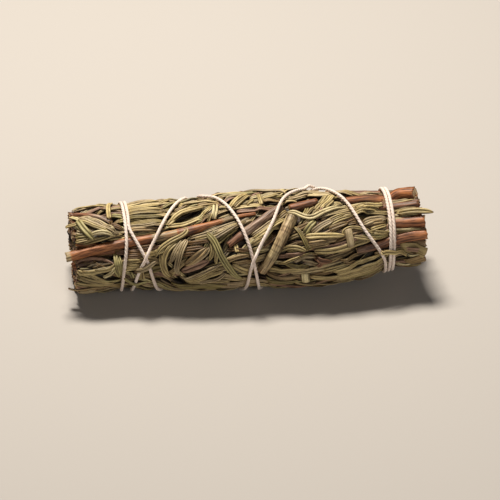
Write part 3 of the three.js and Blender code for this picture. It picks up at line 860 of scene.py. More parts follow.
def random_leaf(x, degrees, heading, longest, buried):
    """One more leaf of the herb. Buried ones are plain and browner."""
    tint, brown = random_colour()
    ends = [(0.12, 0.38), (0.12, 0.38), (0.4, 0.4), (0.12, 0.02), (0.02, 0.3)][rng.integers(5)]
    line = bent_line(x, degrees, heading, rng.uniform(0.6, 1) * longest, rng.normal(0, 16))
    section = PLAIN if buried else (LOWER if rng.random() < 0.3 else UPPER)
    return Leaf(
        line, rng.uniform(1.15, 1.95), tint, min(brown + (0.35 if buried else 0), 0.9), section,
        rng.uniform(0.42, 0.65), *ends, rng.normal(0, 11), rng.normal(0, 20), rng.uniform(0.1, 0.6),
        tuple(rng.uniform(-0.9, 0.5, 2)),
    )


TRIAL_WIDTH = 1.5
TRIAL_BUMP = 0.12  # mm that a leaf may stand above the ceiling when its place is sought
LAID_BUMP = 0.3  # and when it is laid
MOST_REFUSED = 500  # places without room, after which a layer is full
# Cross-sections along the tube of a buried, a shown, a loose and a placed leaf.
BURIED_STATIONS, SHOWN_STATIONS, LOOSE_STATIONS, PLACED_STATIONS = 7, 15, 24, 26


def best_place(pile, x, degrees, heading, lengths):
    """Where a leaf near here would lie lowest without a bump: the longest that fits, turned or shifted
    a little."""
    for length in lengths:
        chosen = None
        for turn in (0, 8, -8):
            for shift in (0, 0.6, -0.6):
                at = degrees + shift / float(arc(x, degrees))
                path = Path(*bent_line(x, at, heading + turn, length, 0))
                lie, excess, bridged = lie_of(pile, path, TRIAL_WIDTH, THICKNESS)
                cost = float(lie.mean()) + 0.8 * bridged + 1.5 * max(excess, 0)
                if excess < TRIAL_BUMP and (chosen is None or cost < chosen[0]):
                    chosen = (cost, at, heading + turn, length)
        if chosen:
            return chosen[1:]
    return None


def fill(pile, laid, lengths, room, most, buried=False):
    """Lays leaves where the pile is lowest under its ceiling, until no gap is deeper than room."""
    refused, last = 0, len(laid) + most
    while refused < MOST_REFUSED and len(laid) < last:
        x, degrees = rng.uniform(-53, 53, 8), rng.uniform(0, 360, 8)
        cells = pile.cells(x, degrees)
        gap = pile.ceiling[cells] - pile.height[cells]
        deepest = int(np.argmax(gap))
        x, degrees = float(x[deepest]), float(degrees[deepest])
        heading = heading_at(x, degrees) + rng.normal(0, 9) + (180 if rng.random() < 0.4 else 0)
        found = best_place(pile, x, degrees, heading, lengths) if gap[deepest] >= room else None
        if found is None:
            refused += 1
            continue
        leaf = random_leaf(x, *found, buried)
        lie, excess, _ = lie_of(pile, leaf, leaf.width, leaf.thickness)
        if excess > LAID_BUMP:
            refused += 1
            continue
        lay(pile, leaf, lie)
        owner = nearest_sprig(on_stick(x, degrees, 0))
        laid.append((owner, leaf, BURIED_STATIONS if buried else SHOWN_STATIONS))


# --- Leaves that are placed one by one ------------------------------------------------------------

# Shapes of leaves: the shares of the length over which foot and tip narrow, and the side that shows.
NEEDLE, RIBBED, LENS, STUB, SHELL, PLUMP = (
    (0.14, 0.36, UPPER), (0.14, 0.36, LOWER), (0.45, 0.45, UPPER), (0.02, 0.02, UPPER),
    (0.3, 0.04, BROAD), (0.02, 0.02, BROAD),
)

# Colour, shape, width, and places as x and degrees, from the lowest leaf up.
FRONT_LEAVES = [
    # the left end, above the long twig
    (STRAW, NEEDLE, 1.2, (-50, -37), (-47, -34), (-43, -29), (-40, -22)),
    (KHAKI, NEEDLE, 1.3, (-39, -11), (-36, -13)),
    (GREEN, STUB, 1.5, (-38.8, 2), (-35.8, 7)),
    (DARK, NEEDLE, 1.2, (-40, 16), (-36, 27)),
    (DARK, NEEDLE, 1.2, (-39, 24), (-36, 31)),
    (STRAW, NEEDLE, 1.2, (-41, 43), (-36, 41.5), (-30, 37.5), (-25, 35)),
    (KHAKI, NEEDLE, 1.2, (-49.5, 44), (-43, 40)),
    (KHAKI, NEEDLE, 1.3, (-47.5, 47), (-43, 43), (-38.5, 39), (-36, 37.5)),
    (OLIVE, NEEDLE, 1.5, (-49.5, 36), (-45, 36)),
    (GREY, NEEDLE, 1.6, (-48.5, 3), (-45, 16), (-40.5, 31), (-37.5, 38)),
    (KHAKI, NEEDLE, 1.3, (-48, 11), (-44, 24), (-40, 34)),
    (GREEN, NEEDLE, 1.4, (-49.3, 17), (-47, 31), (-46, 37)),
    (GREY, RIBBED, 1.6, (-48, -3), (-45, 5), (-40, 28), (-37, 39)),
    (PALE, NEEDLE, 1.2, (-46.2, -3), (-43, 11), (-40, 24), (-38.2, 33)),
    (KHAKI, NEEDLE, 1.3, (-52.2, 17), (-50.5, 17), (-48, 16)),
    # the left end, below the long twig
    (DARK, NEEDLE, 1.0, (-44, 67), (-40, 64), (-36, 60)),
    (TAN, NEEDLE, 1.8, (-52.5, 119), (-48, 120), (-40, 118)),
    (KHAKI, NEEDLE, 1.8, (-50, 104), (-46, 109), (-41, 112)),
    (OLIVE, NEEDLE, 1.9, (-49.5, 92), (-46, 97), (-42, 104), (-39, 107)),
    (KHAKI, NEEDLE, 1.5, (-49.3, 83), (-44.5, 93)),
    (GREEN, NEEDLE, 1.5, (-46, 93), (-42, 100), (-37, 106)),
    (KHAKI, NEEDLE, 1.5, (-47.2, 83), (-44.5, 92), (-41.8, 99.5), (-40, 102)),
    (KHAKI, NEEDLE, 1.7, (-48, 84), (-44, 84.5), (-41, 84), (-39, 81)),
    (MAUVE, LENS, 2.6, (-49.5, 76), (-45, 74.5), (-41, 77), (-38.5, 80)),
    (KHAKI, NEEDLE, 1.4, (-45, 83), (-41, 84), (-38.8, 80), (-37.6, 74)),
    (PALE, NEEDLE, 1.2, (-42, 94), (-39.8, 89), (-38, 80)),
    (GREEN, NEEDLE, 1.3, (-38.7, 82), (-38, 91), (-37.3, 99)),
    (GREEN, NEEDLE, 1.2, (-37.7, 68), (-36.9, 80), (-36.9, 92), (-36.2, 100)),
    # between the first turns of string, above the twig
    (STRAW, NEEDLE, 1.2, (-35, -17), (-30, -22), (-25, -27)),
    (STRAW, NEEDLE, 1.3, (-35, -9), (-30, -10), (-25, -13)),
    (STRAW, RIBBED, 1.3, (-35, -1), (-30, -1), (-24, -2)),
    (KHAKI, NEEDLE, 1.3, (-35, 6), (-30, 6), (-24, 5)),
    (OLIVE, NEEDLE, 1.3, (-35, 14), (-30, 14), (-24, 13)),
    (KHAKI, RIBBED, 1.3, (-35, 22), (-30, 22), (-24, 21)),
    (GREY, NEEDLE, 1.3, (-35, 28), (-30, 28), (-24, 27)),
    (TAN, NEEDLE, 1.3, (-34, 33), (-30, 33), (-24, 32)),
    # above the twig, right of the second turn
    (KHAKI, NEEDLE, 1.2, (-25, -20), (-22, -27)),
    (GREEN, NEEDLE, 1.3, (-24.5, -4), (-21, -17), (-16, -26), (-12, -29)),
    (STRAW, NEEDLE, 1.3, (-19.5, -9), (-14, -11), (-8.5, -7)),
    (PALE, NEEDLE, 1.0, (-14.5, 18), (-11.5, 9), (-9.5, 1)),
    (STRAW, NEEDLE, 1.5, (-23, 29), (-19.5, 27), (-15, 19), (-11.5, 8), (-10.3, 0)),
    (STRAW, NEEDLE, 1.9, (-23, 27), (-20.5, 13), (-17, 4), (-12.5, 2)),
    (KHAKI, STUB, 1.0, (-10.3, 15), (-11.4, 25)),
    (PALE, STUB, 1.8, (-9, -3), (-9.2, 9), (-9.8, 21)),
    # top middle
    (STRAW, NEEDLE, 1.3, (-11, -35), (-5, -38), (3, -38)),
    (GREEN, NEEDLE, 1.3, (-8, -28), (-2, -28), (5, -33)),
    (KHAKI, NEEDLE, 1.2, (-8, 6), (-5, 5)),
    (STRAW, NEEDLE, 1.5, (-5.5, 8), (-2.5, -7), (0.5, -17)),
    (KHAKI, NEEDLE, 1.2, (-3.6, 6), (-0.5, -8), (1.8, -20)),
    (KHAKI, NEEDLE, 1.2, (0, 3), (2.2, -6)),
    (KHAKI, NEEDLE, 1.3, (5, -22), (11, -23)),
    (KHAKI, NEEDLE, 1.3, (4.5, -8), (9, -12)),
    (TAN, NEEDLE, 1.3, (5, -2), (10, -5)),
    (MAUVE, NEEDLE, 1.6, (-3, 11.5), (3, 11), (9, 4)),
    (STRAW, STUB, 1.3, (3.6, -23), (3.9, -8), (4.2, 4)),
    # below the twig, between the first turns
    (GREY, NEEDLE, 1.3, (-34.5, 56), (-30, 51), (-25, 49)),
    (DARK, NEEDLE, 1.3, (-34, 60), (-30, 58), (-26, 56)),
    (DARK, NEEDLE, 1.3, (-34.5, 64.5), (-30, 65)),
    (DARK, NEEDLE, 1.3, (-35, 70), (-31, 70)),
    (KHAKI, NEEDLE, 1.5, (-35, 75.5), (-31.2, 75)),
    (KHAKI, NEEDLE, 1.6, (-35, 81.5), (-31.6, 82)),
    (GREEN, NEEDLE, 1.3, (-34.2, 93), (-33.4, 103)),
    (KHAKI, NEEDLE, 1.4, (-31, 92), (-30.7, 105)),
    # the bottom of the front
    (OLIVE, NEEDLE, 2.0, (-21, 122), (-15, 122), (-8, 122)),
    (KHAKI, NEEDLE, 1.6, (-19, 108), (-12, 105), (-5, 105)),
    (KHAKI, NEEDLE, 1.9, (-19, 107.5), (-14, 100), (-10, 93.5), (-7.6, 89)),
    (GREY, NEEDLE, 1.3, (-15, 105), (-10, 101), (-7, 93)),
    (KHAKI, NEEDLE, 1.2, (-19.6, 104.5), (-15, 97), (-11, 89), (-8, 84)),
    (GREY, NEEDLE, 1.2, (-20, 102), (-15, 92), (-11, 85), (-8, 80)),
    # the tuft below the long twig
    (DARK, NEEDLE, 1.3, (-18, 55), (-11, 53)),
    (DARK, NEEDLE, 1.3, (-19, 62), (-13, 60)),
    (DARK, NEEDLE, 1.3, (-19, 68), (-15, 67)),
    (KHAKI, NEEDLE, 1.2, (-26.5, 52), (-24, 48), (-20, 44)),
    (KHAKI, NEEDLE, 1.3, (-25.4, 68), (-25.2, 80), (-24.5, 92), (-23, 100)),
    (MAUVE, LENS, 2.6, (-19.5, 89), (-15.5, 82), (-11.6, 77)),
    (GREY, NEEDLE, 1.6, (-17.6, 79), (-14.5, 73), (-12, 65), (-11.5, 60)),
    (KHAKI, NEEDLE, 1.6, (-18.6, 46), (-21.5, 55), (-23.6, 64), (-24.6, 76), (-24, 88), (-22.5, 98)),
    # from the twig down to the middle
    (DARK, NEEDLE, 1.2, (-7.5, 65), (-3, 66), (1, 66)),
    (KHAKI, NEEDLE, 1.2, (-11, 55), (-10.6, 65), (-11.6, 77)),
    (KHAKI, NEEDLE, 1.1, (-9.5, 64), (-9.8, 80)),
    (TAN, NEEDLE, 1.3, (-6.5, 77), (-3, 73), (0, 72)),
    (TAN, NEEDLE, 1.3, (-5, 81), (0, 79)),
    (STRAW, STUB, 1.3, (-4, 57), (-3.6, 68)),
    (GREY, NEEDLE, 1.0, (-17, 44), (-12, 38), (-7, 31), (-4, 28)),
    (GREY, NEEDLE, 1.2, (-17, 48), (-11, 42), (-6, 34), (-1.5, 26)),
    (KHAKI, NEEDLE, 1.2, (-15.5, 50), (-9.5, 46), (-4.5, 36), (-0.5, 29)),
    (GREY, NEEDLE, 1.3, (-11, 53), (-7, 44), (-3, 34)),
    (OLIVE, RIBBED, 2.0, (-9.6, 57), (-6.5, 46), (-3, 37)),
    (OLIVE, NEEDLE, 1.7, (-5, 46), (-6.5, 58), (-7.8, 69)),
    (KHAKI, NEEDLE, 2.0, (-5, 82), (-2, 90), (1, 98)),
    # between the crossing strings and the ringed twig
    (KHAKI, NEEDLE, 1.7, (1, 60), (4.5, 52)),
    (KHAKI, NEEDLE, 1.4, (1, 55), (5, 44.5), (9, 32.5), (11.8, 23)),
    (GREY, NEEDLE, 1.2, (0.5, 50), (4, 40), (8, 27)),
    (KHAKI, NEEDLE, 1.8, (4.6, 98), (8, 94.5), (12, 92.5), (16, 92)),
    (TAN, NEEDLE, 1.6, (4.6, 103), (10, 104.5), (14, 106)),
    (OLIVE, NEEDLE, 2.0, (5, 113), (10, 113), (14, 111.5)),
    # right of the ringed twig
    (KHAKI, NEEDLE, 0.9, (16.8, 27), (19, 15)),
    (KHAKI, NEEDLE, 1.0, (20.5, 3), (23, -9)),
    (KHAKI, NEEDLE, 1.4, (19.5, 18), (22, 5), (24, -8)),
    (STRAW, RIBBED, 1.7, (21, 17), (23.6, 4), (25.5, -8)),
    (KHAKI, NEEDLE, 1.3, (22.4, 17), (25, 6)),
    (KHAKI, NEEDLE, 1.2, (20, 43), (24, 34), (28, 27)),
    (KHAKI, NEEDLE, 1.2, (21, 46), (26, 36), (30, 31)),
    (GREEN, NEEDLE, 1.9, (16, 50), (17.5, 42), (19.4, 35)),
    (GREY, RIBBED, 1.9, (18, 50), (21, 42), (24.5, 36)),
    (BROWN, NEEDLE, 1.6, (23, 47), (26, 43), (28.6, 40)),
    (TAN, NEEDLE, 1.2, (17.5, 66), (23, 64)),
    (TAN, NEEDLE, 1.2, (17, 62), (22, 60)),
    (OLIVE, RIBBED, 1.3, (13.3, 40), (14.8, 50), (16, 60), (16.9, 70)),
    # the bud and what lies round it
    (KHAKI, NEEDLE, 1.4, (20.5, 96), (25, 92.5), (30, 90)),
    (OLIVE, LENS, 1.6, (10, 84.5), (14, 88), (17, 91)),
    (GREY, LENS, 2.2, (14, 84), (17.5, 88), (20.6, 86)),
    (GREY, LENS, 2.2, (12.5, 81), (16, 77), (19.6, 79)),
    (MAUVE, LENS, 1.6, (8, 78), (13, 74.5), (16, 72.5)),
    (KHAKI, NEEDLE, 1.8, (18.5, 70.5), (22, 72), (26, 70.5), (31, 67), (37, 63.5)),
    (KHAKI, NEEDLE, 1.6, (7, 74), (10, 67.5), (13, 66), (16.4, 70)),
    (STRAW, NEEDLE, 0.8, (8, 87), (12, 79), (16, 74.5), (18.6, 73)),
    (RUST, LENS, 1.5, (19, 90), (20.4, 84), (19.4, 78)),
    (RUST, LENS, 1.8, (18, 78), (21, 82), (23.6, 84.5)),
    # the bottom right
    (KHAKI, NEEDLE, 1.5, (19, 112), (25, 108), (30, 104)),
    (KHAKI, NEEDLE, 1.8, (17.5, 104), (22, 106), (27, 105)),
    (OLIVE, NEEDLE, 1.8, (25, 119), (32, 116), (39, 115)),
    (KHAKI, NEEDLE, 1.7, (25, 114), (31, 110), (38, 108)),
    (KHAKI, NEEDLE, 1.7, (25, 108), (31, 103), (37, 101), (39.6, 99)),
    (KHAKI, RIBBED, 1.7, (25, 102), (32, 97), (37, 95.5), (40, 93)),
    (STRAW, NEEDLE, 1.6, (24, 98), (30, 92.5), (35, 90), (38.5, 88.5)),
    (TAN, NEEDLE, 1.1, (27.5, 88), (30.4, 90)),
    (TAN, NEEDLE, 1.2, (26, 85), (31, 83), (35.5, 82)),
    # the right end
    (KHAKI, NEEDLE, 1.2, (31, 15), (35, 12), (38.5, 7)),
    (STRAW, NEEDLE, 1.1, (31, 19.5), (36, 17), (41, 19), (48, 23)),
    (KHAKI, NEEDLE, 1.2, (30, 23), (36, 21), (42, 24.5), (49, 27)),
    (KHAKI, NEEDLE, 1.3, (30, 28), (34, 24.5), (38, 27.5), (41, 31)),
    (KHAKI, NEEDLE, 1.4, (43, 29.5), (47, 34.5), (49.5, 36)),
    (KHAKI, NEEDLE, 1.3, (35.6, 55), (40.8, 61.5)),
    (KHAKI, NEEDLE, 1.3, (35, 52), (37, 50), (40, 47.5)),
    (TAN, NEEDLE, 1.5, (33.5, 44), (37, 42), (40, 41)),
    (GREY, RIBBED, 2.2, (33, 42), (36, 38), (40, 36.5)),
    (KHAKI, NEEDLE, 1.3, (30, 58), (36, 63.5), (41, 64.5)),
    (STRAW, NEEDLE, 1.7, (42.5, 62), (46, 61.5), (49, 60.5)),
    (KHAKI, NEEDLE, 1.0, (27, 56), (27.2, 50), (29.5, 46.5), (33, 50), (36, 57)),
    (TAN, NEEDLE, 1.8, (36, 88), (39, 88), (42, 89)),
    (BROWN, SHELL, 3.4, (45, 115), (48, 112.5), (50.8, 109)),
    (KHAKI, SHELL, 4.2, (43.5, 88), (47, 93), (50, 98), (51, 100)),
    (PALE, NEEDLE, 1.5, (42.8, 118), (44.8, 126), (47, 124)),
]

# These go over the string or over a twig.
LEAVES_ON_TOP = [
    (GREY, NEEDLE, 1.6, (-32.6, 88), (-30, 83), (-26.6, 76)),
    (STRAW, NEEDLE, 1.5, (37.8, 81.5), (41.1, 86.5), (43.2, 91), (44.5, 97), (45.6, 104)),
    (GREEN, NEEDLE, 1.3, (-36, 98), (-34, 108), (-29, 112)),
    (STRAW, NEEDLE, 1.2, (33.5, 17), (36.5, 16.5), (39.2, 16.5)),
    (KHAKI, NEEDLE, 1.5, (-18.5, 33), (-17.7, 37.5), (-18.8, 43), (-22.5, 51), (-25.5, 60), (-27.2, 72)),
]


def hand_leaf(colour, shape, width, *places):
    """One row of the lists above as a leaf."""
    foot, tip, section = shape
    tilt = rng.normal(0, 6, 2)
    line = smooth_line(places)
    return Leaf(line, width, *colour, section, THICKNESS, foot, tip, tilt[0], 2 * tilt[1], 0.3, (3.0, 3.5))


# Leaves that are pieces of their own: name, way, width, colour and shape. The way of a bent leaf is places
# along it, and that of a straight one its middle's x and degrees, its heading and its length.
LOOSE = [
    ("leaf_top_left_stub", [(-38.9, -31), (-39.6, -20), (-39.8, -8), (-39.7, 11)], 1.4, STRAW, STUB),
    ("leaf_left_pale", [(-48.7, 11), (-47, 27.5), (-44.2, 43.5)], 2.1, GREEN, NEEDLE),
    ("leaf_left_short", [(-45, 36), (-42.5, 35), (-40.3, 37), (-38.7, 41)], 1.7, PALE, LENS),
    ("leaf_left_low", [(-48.6, 93), (-46, 97), (-42, 104), (-39, 107)], 1.8, KHAKI, NEEDLE),
    ("leaf_left_upright", [(-38.4, 66), (-38.1, 78), (-37.8, 90), (-37.6, 100)], 1.4, GREEN, NEEDLE),
    ("leaf_tuft_high", [(-18.6, 50), (-20.5, 60), (-22, 70), (-22.6, 77)], 1.7, GREY, RIBBED),
    ("leaf_tuft_low", [(-17.8, 50), (-19.5, 62), (-20.6, 75), (-21, 86), (-20, 94)], 1.8, GREY, RIBBED),
    (
        "leaf_cross_front",
        [(-12, 44), (-10, 55), (-8.4, 70), (-6.5, 83), (-4.5, 94), (-2, 104)],
        2.1, GREEN, RIBBED,
    ),
    ("leaf_fan_front", [(-18.5, 80), (-15, 70), (-12.2, 61)], 2.3, TAN, LENS),
    ("leaf_low_front", [(-22.5, 116), (-15, 112), (-6.5, 113)], 2, OLIVE, LENS),
    ("leaf_top_arch", [(-22, 21), (-20.5, 13), (-17, 4), (-12.2, 2)], 1.9, STRAW, LENS),
    ("leaf_top_pale", [(-4.6, 4), (-2.5, -7), (0.5, -17)], 1.5, STRAW, NEEDLE),
    (
        "leaf_bent_right",
        [(11.5, 21), (13.4, 22.5), (15.2, 26.3), (17.3, 30.5), (18.9, 30.2), (20.6, 26.5), (23, 21.5),
         (26, 17), (28.6, 16)],
        1.7, PALE, NEEDLE,
    ),
    ("leaf_right_upper", [(16.2, 54), (20, 54), (25, 55), (27.5, 56)], 1.8, STRAW, NEEDLE),
    ("leaf_right_stub", (28.8, 59, 82, 4.5), 2.3, GREY, PLUMP),
    ("leaf_low_stub", (16, 106, 85, 3), 2.4, PALE, PLUMP),
    ("leaf_right_low", [(25, 108), (31, 103), (37, 98.5)], 1.9, KHAKI, NEEDLE),
    ("leaf_tip_right", [(43.6, 32), (48, 33), (51, 35.5), (53.4, 38.5)], 1.9, KHAKI, NEEDLE),
    ("leaf_under_left_front", (-44.4, 163, 0, 11.6), 2.6, OLIVE, LENS),
    ("leaf_under_left_back", (-44, 197, 0, 10.8), 2.6, KHAKI, LENS),
    ("leaf_under_middle_front", (-13.4, 163, 0, 13), 2.8, OLIVE, LENS),
    ("leaf_under_middle_back", (-14, 197, 0, 11), 2.8, KHAKI, LENS),
    ("leaf_under_right_front", (15.5, 162, 0, 16), 2.8, KHAKI, LENS),
    ("leaf_under_right_back", (20.5, 198, 0, 15), 2.8, OLIVE, LENS),
    ("leaf_back_high", (6, 330, 18, 13), 1.9, GREY, RIBBED),
    ("leaf_back_middle", (-5.5, 262, -20, 11), 1.9, STRAW, NEEDLE),
    ("leaf_back_low", (25.5, 225, 16, 13), 2, KHAKI, NEEDLE),
    ("leaf_back_left", (-45.5, 238, 10, 9), 1.8, GREY, NEEDLE),
]


def loose_leaves(pile, laid):
    """Lays the leaves that are pieces of their own over the others."""
    for name, way, width, colour, (foot, tip, section) in LOOSE:
        line = smooth_line(way) if isinstance(way, list) else bent_line(*way, 0)
        leaf = Leaf(line, width, *colour, section, LOOSE_THICKNESS, foot, tip, 0, 0, 0.25, (3.0, 4.0))
        lay(pile, leaf, lie_of(pile, leaf, width, leaf.thickness)[0])
        laid.append((name, leaf, LOOSE_STATIONS))


# --- Twigs ----------------------------------------------------------------------------------------

# Name, places as x, degrees, radius and the top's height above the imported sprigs, tint (0 brown to 1
# tan), mm between rings (0 is none), and how deeply it is split.
TWIGS = [
    (
        "twig_long_front",
        [
            (-52.3, 64, 1.4, 0.3), (-40, 54, 1.4, 0.1), (-26, 44.5, 1.4, 0.2), (-16, 36, 1.35, 0.3),
            (-10, 29.5, 0.95, 0), (-3, 21, 0.6, 0), (2, 18, 0.5, 0),
        ],
        0.62, 0, 0.12,
    ),
    (
        "twig_top_right_thick",
        [
            (29, -2, 1.3, 0.3), (35, -8, 1.6, 0.3), (40.9, -13, 1.9, -0.3), (44.2, -14, 1.95, 1.3),
            (48.6, -6, 2.2, 2),
        ],
        0.62, 0, 0.6,
    ),
    ("twig_top_right_thin", [(38, 16, 1, 0), (49.2, 16, 1.15, 0.1)], 0.3, 0, 0.4),
    ("twig_right_front", [(41.5, 47, 1.5, 0), (46, 48, 1.65, 0.1), (50.6, 50, 1.85, 0.5)], 0.55, 0, 0.5),
    (
        "twig_right_low",
        [
            (31, 78, 0.9, -0.2), (35, 76.5, 1.2, 0), (38, 75.5, 1.35, 0), (45, 72, 1.5, 0.2),
            (51, 72, 1.5, 0.4),
        ],
        0.5, 0, 0.4,
    ),
    ("twig_ringed_front", [(12.8, 25, 1.75, 0.6), (8.9, 59, 1.6, 0.6), (3.6, 97, 1.5, 0)], 0.95, 1.5, 0.12),
    ("twig_stub_top", [(12.4, 9, 1.3, 0.2), (20, -1, 1.3, 0.4)], 0.5, 0, 0.2),
    (
        "twig_top_left",
        [
            (-49.6, -20, 0.9, 0), (-46, -12, 0.9, 0), (-42, 2, 0.85, 0), (-39.5, 14, 0.8, 0),
        ],
        0.4, 0, 0.4,
    ),
    (
        "twig_mauve_front",
        [
            (-6, 60, 1, 0), (-1.5, 46, 1.2, 0), (3.5, 30, 1.35, 0.2), (9.6, 6, 1.2, 0),
        ],
        0.05, 0, 0.3,
    ),
    ("twig_back_long", [(51, 262, 1.7, 0), (20, 248, 1.45, 0), (-8, 240, 1.2, 0)], 0.55, 0, 0.25),
    ("twig_back_left", [(-50.6, 305, 1.5, 0), (-20, 292, 1.25, 0), (-2, 288, 1.1, 0)], 0.4, 0, 0.3),
    ("twig_back_right", [(49.6, 312, 1.9, 0.2), (24, 318, 1.3, 0)], 0.3, 0, 0.4),
]
# Where a twig's bark changes along it: x and tint.
BARK_CHANGES = {
    "twig_long_front": [
        (-53, 1.0), (-51.4, 0.95), (-50.6, 0.66), (-28.5, 0.64), (-27, 0.92), (-20.5, 0.9), (-19.5, 0.28),
        (-16, 0.25), (-15, 0.72), (-9, 0.72), (-6, 0.93), (-3, 0.9), (-2, 0.66), (3, 0.62),
    ],
    "twig_top_left": [(-50, 0.42), (-46, 0.35), (-43.5, 0.05), (-39, 0.05)],
    "twig_mauve_front": [(-6.5, 0.32), (-2.5, 0.32), (-0.5, 0.05), (9, 0.1)],
    "twig_right_low": [(31, 0.15), (36, 0.25), (42, 0.5), (52, 0.6)],
}
TWIG_SIDES = 28


def wavy(values, seed, waves):
    """A smooth repeatable wobble between about -1 and 1: waves is a list of lengths."""
    total = 0
    for k, wave in enumerate(waves):
        total = total + np.sin(values * (2 * math.pi / wave) + seed * (1.7 + k) + k) / (k + 1)
    return total / sum(1 / (k + 1) for k in range(len(waves)))


def twig(pile, seed, name, places, tint, ring_gap, split):
    """One twig's bark and cut ends. Returns its path, for what lies over it."""
    x, degrees, radius, top = smooth_line(places)
    along = np.linspace(0, STEP * len(x), len(x))
    radius = radius * (1 + 0.05 * wavy(along, seed, (17, 7.3, 3.1)))
    centre = soften(on_stick(x, degrees, top - radius), 6)
    tangent = unit(np.gradient(centre, axis=0))
    up = outward(x, degrees)
    side = unit(np.cross(up, tangent))
    up = np.cross(tangent, side)
    angle = np.linspace(0, 2 * math.pi, TWIG_SIDES, endpoint=False)
    drift = angle[None, :] + 0.25 * wavy(along, seed + 3, (23, 9))[:, None]
    ridges = 0.5 * np.sin(drift * 5 + seed) + 0.3 * np.sin(drift * 9 + 2 * seed) + 0.2 * np.sin(drift * 13)
    cracks = np.exp(-(((np.mod(drift * 3 / (2 * math.pi) + seed, 1) - 0.5) / 0.07) ** 2))
    cracks = np.clip(cracks * (0.5 + 0.5 * wavy(along, seed + 5, (29, 11))[:, None]), 0, 1)
    bumps = 0.05 * ridges * (0.6 + split) - 0.24 * split * cracks
    # Darker in the cracks: painted shade in their recesses.
    painted_shade_and_marks = 1 - 0.9 * cracks * min(1, split * 2.2)
    if ring_gap:
        phase = along / ring_gap + 0.35 * wavy(along, seed, (6.1, 3.3))
        bumps = bumps + 0.05 * np.exp(-(((np.mod(phase, 1) - 0.5) / 0.12) ** 2))[:, None]
        # A dark line just past each ring.
        painted_shade_and_marks = painted_shade_and_marks * (1 - 0.6 * np.exp(-(((np.mod(phase, 1) - 0.7) / 0.07) ** 2)))[:, None]
    around = np.cos(angle)[None, :, None] * side[:, None] + np.sin(angle)[None, :, None] * up[:, None]
    rings = centre[:, None] + around * (radius[:, None] * (1 + bumps))[..., None]
    ragged = 0.25 * wavy(angle, seed, (2.1, 0.9))
    rings[0] -= tangent[0] * (0.1 + ragged)[:, None]
    rings[-1] += tangent[-1] * (0.3 + ragged)[:, None]
    shade_of = np.interp(x, *zip(*BARK_CHANGES[name])) if name in BARK_CHANGES else np.full(len(x), tint)
    shade = (shade_of + 0.06 * wavy(along, seed + 1, (13, 5)))[:, None] + 0.04 * ridges
    # Painted shade: darker on the underside and the low sides, towards what it lies on.
    painted_shade_below = 0.45 + 0.55 * smoothstep(np.sin(angle), -0.35, 0.6)  # it is dark towards what it lies on
    flaking = np.clip(0.9 * wavy(along, seed + 2, (31, 12))[:, None] + 0.3 * ridges - 0.45, 0, 0.8)
    look = channels(len(x), TWIG_SIDES, shade, painted_shade_and_marks * painted_shade_below, flaking * (tint < 0.9), 0)
    grain = channels(len(x), TWIG_SIDES, along[:, None], angle * radius.mean(), seed * 13)
    clump = Clump()
    clump.tube(rings, look, grain, 0, (1.0, 1.0))
    place(clump.build(name + "_bark", [BARK]), "bare_wood", name)
    pile.lower_ceiling(x, degrees, top - radius * 1.1, 1.8, 3.4, radius.mean() * 0.9)
    return x, degrees, top - radius, radius.mean()


# --- The sprigs -----------------------------------------------------------------------------------


CORE_X = np.linspace(-47, 46, 24)
CORE_SIDES = 14
CORE_REACH = np.linspace(0, 12, 61)  # mm outwards at which its edge is looked for


def painted_dark_core(clump, index):
    """The sprig's pressed inside, from cut to cut, in its own share of the section, painted dark as the shade
    deep in the bundle.
    """
    angle = np.linspace(0, 2 * math.pi, CORE_SIDES, endpoint=False)
    direction = np.stack([np.cos(angle), np.sin(angle)], axis=1)
    rings = np.zeros((len(CORE_X), CORE_SIDES, 3))
    for s, x in enumerate(CORE_X):
        middles = sprig_middles(x)
        own = middles[index]
        others = np.delete(middles, index, axis=0) - own
        distance = np.linalg.norm(others, axis=1)
        towards = np.maximum(direction @ (others / distance[:, None]).T, 1e-3)
        half = ((distance - TOUCH) / 2 / towards).min(axis=1)
        y = own[0] + direction[:, 0:1] * CORE_REACH
        z = own[1] + direction[:, 1:2] * CORE_REACH
        from_middle = z - float(np.interp(x, GIRTH_X, MIDDLE_Z))
        limit = oval_radius(x, np.degrees(np.arctan2(-y, from_middle))) + Pile.BOTTOM + 0.1
        inside = (np.hypot(y, from_middle) < limit) & (z > TABLE_GAP - Pile.BOTTOM)
        reach = np.minimum(CORE_REACH[np.argmin(inside, axis=1)], half)
        rings[s] = np.stack([np.full(CORE_SIDES, x), *(own[:, None] + direction.T * reach)], axis=1)
    # Painted shade: the inside is coloured dark and brown.
    look = np.broadcast_to((0.1, 0.2, 0.7, 0.0), (len(CORE_X), CORE_SIDES, 4))
    grain = channels(len(CORE_X), CORE_SIDES, CORE_X[:, None], angle * 3, index * 11)
    clump.tube(rings, look, grain, 0, (0, 0))


# The leaves' ends in a cut: their rows and columns, their length inwards, the cross-sections along each,
# and how far they keep from the rim.
END_ROWS = np.arange(-13, 13, 0.98)
END_COLUMNS = np.arange(-15, 15, 1.62)
END_LENGTH = 9
END_STATIONS = 4
END_RIM = 1.2


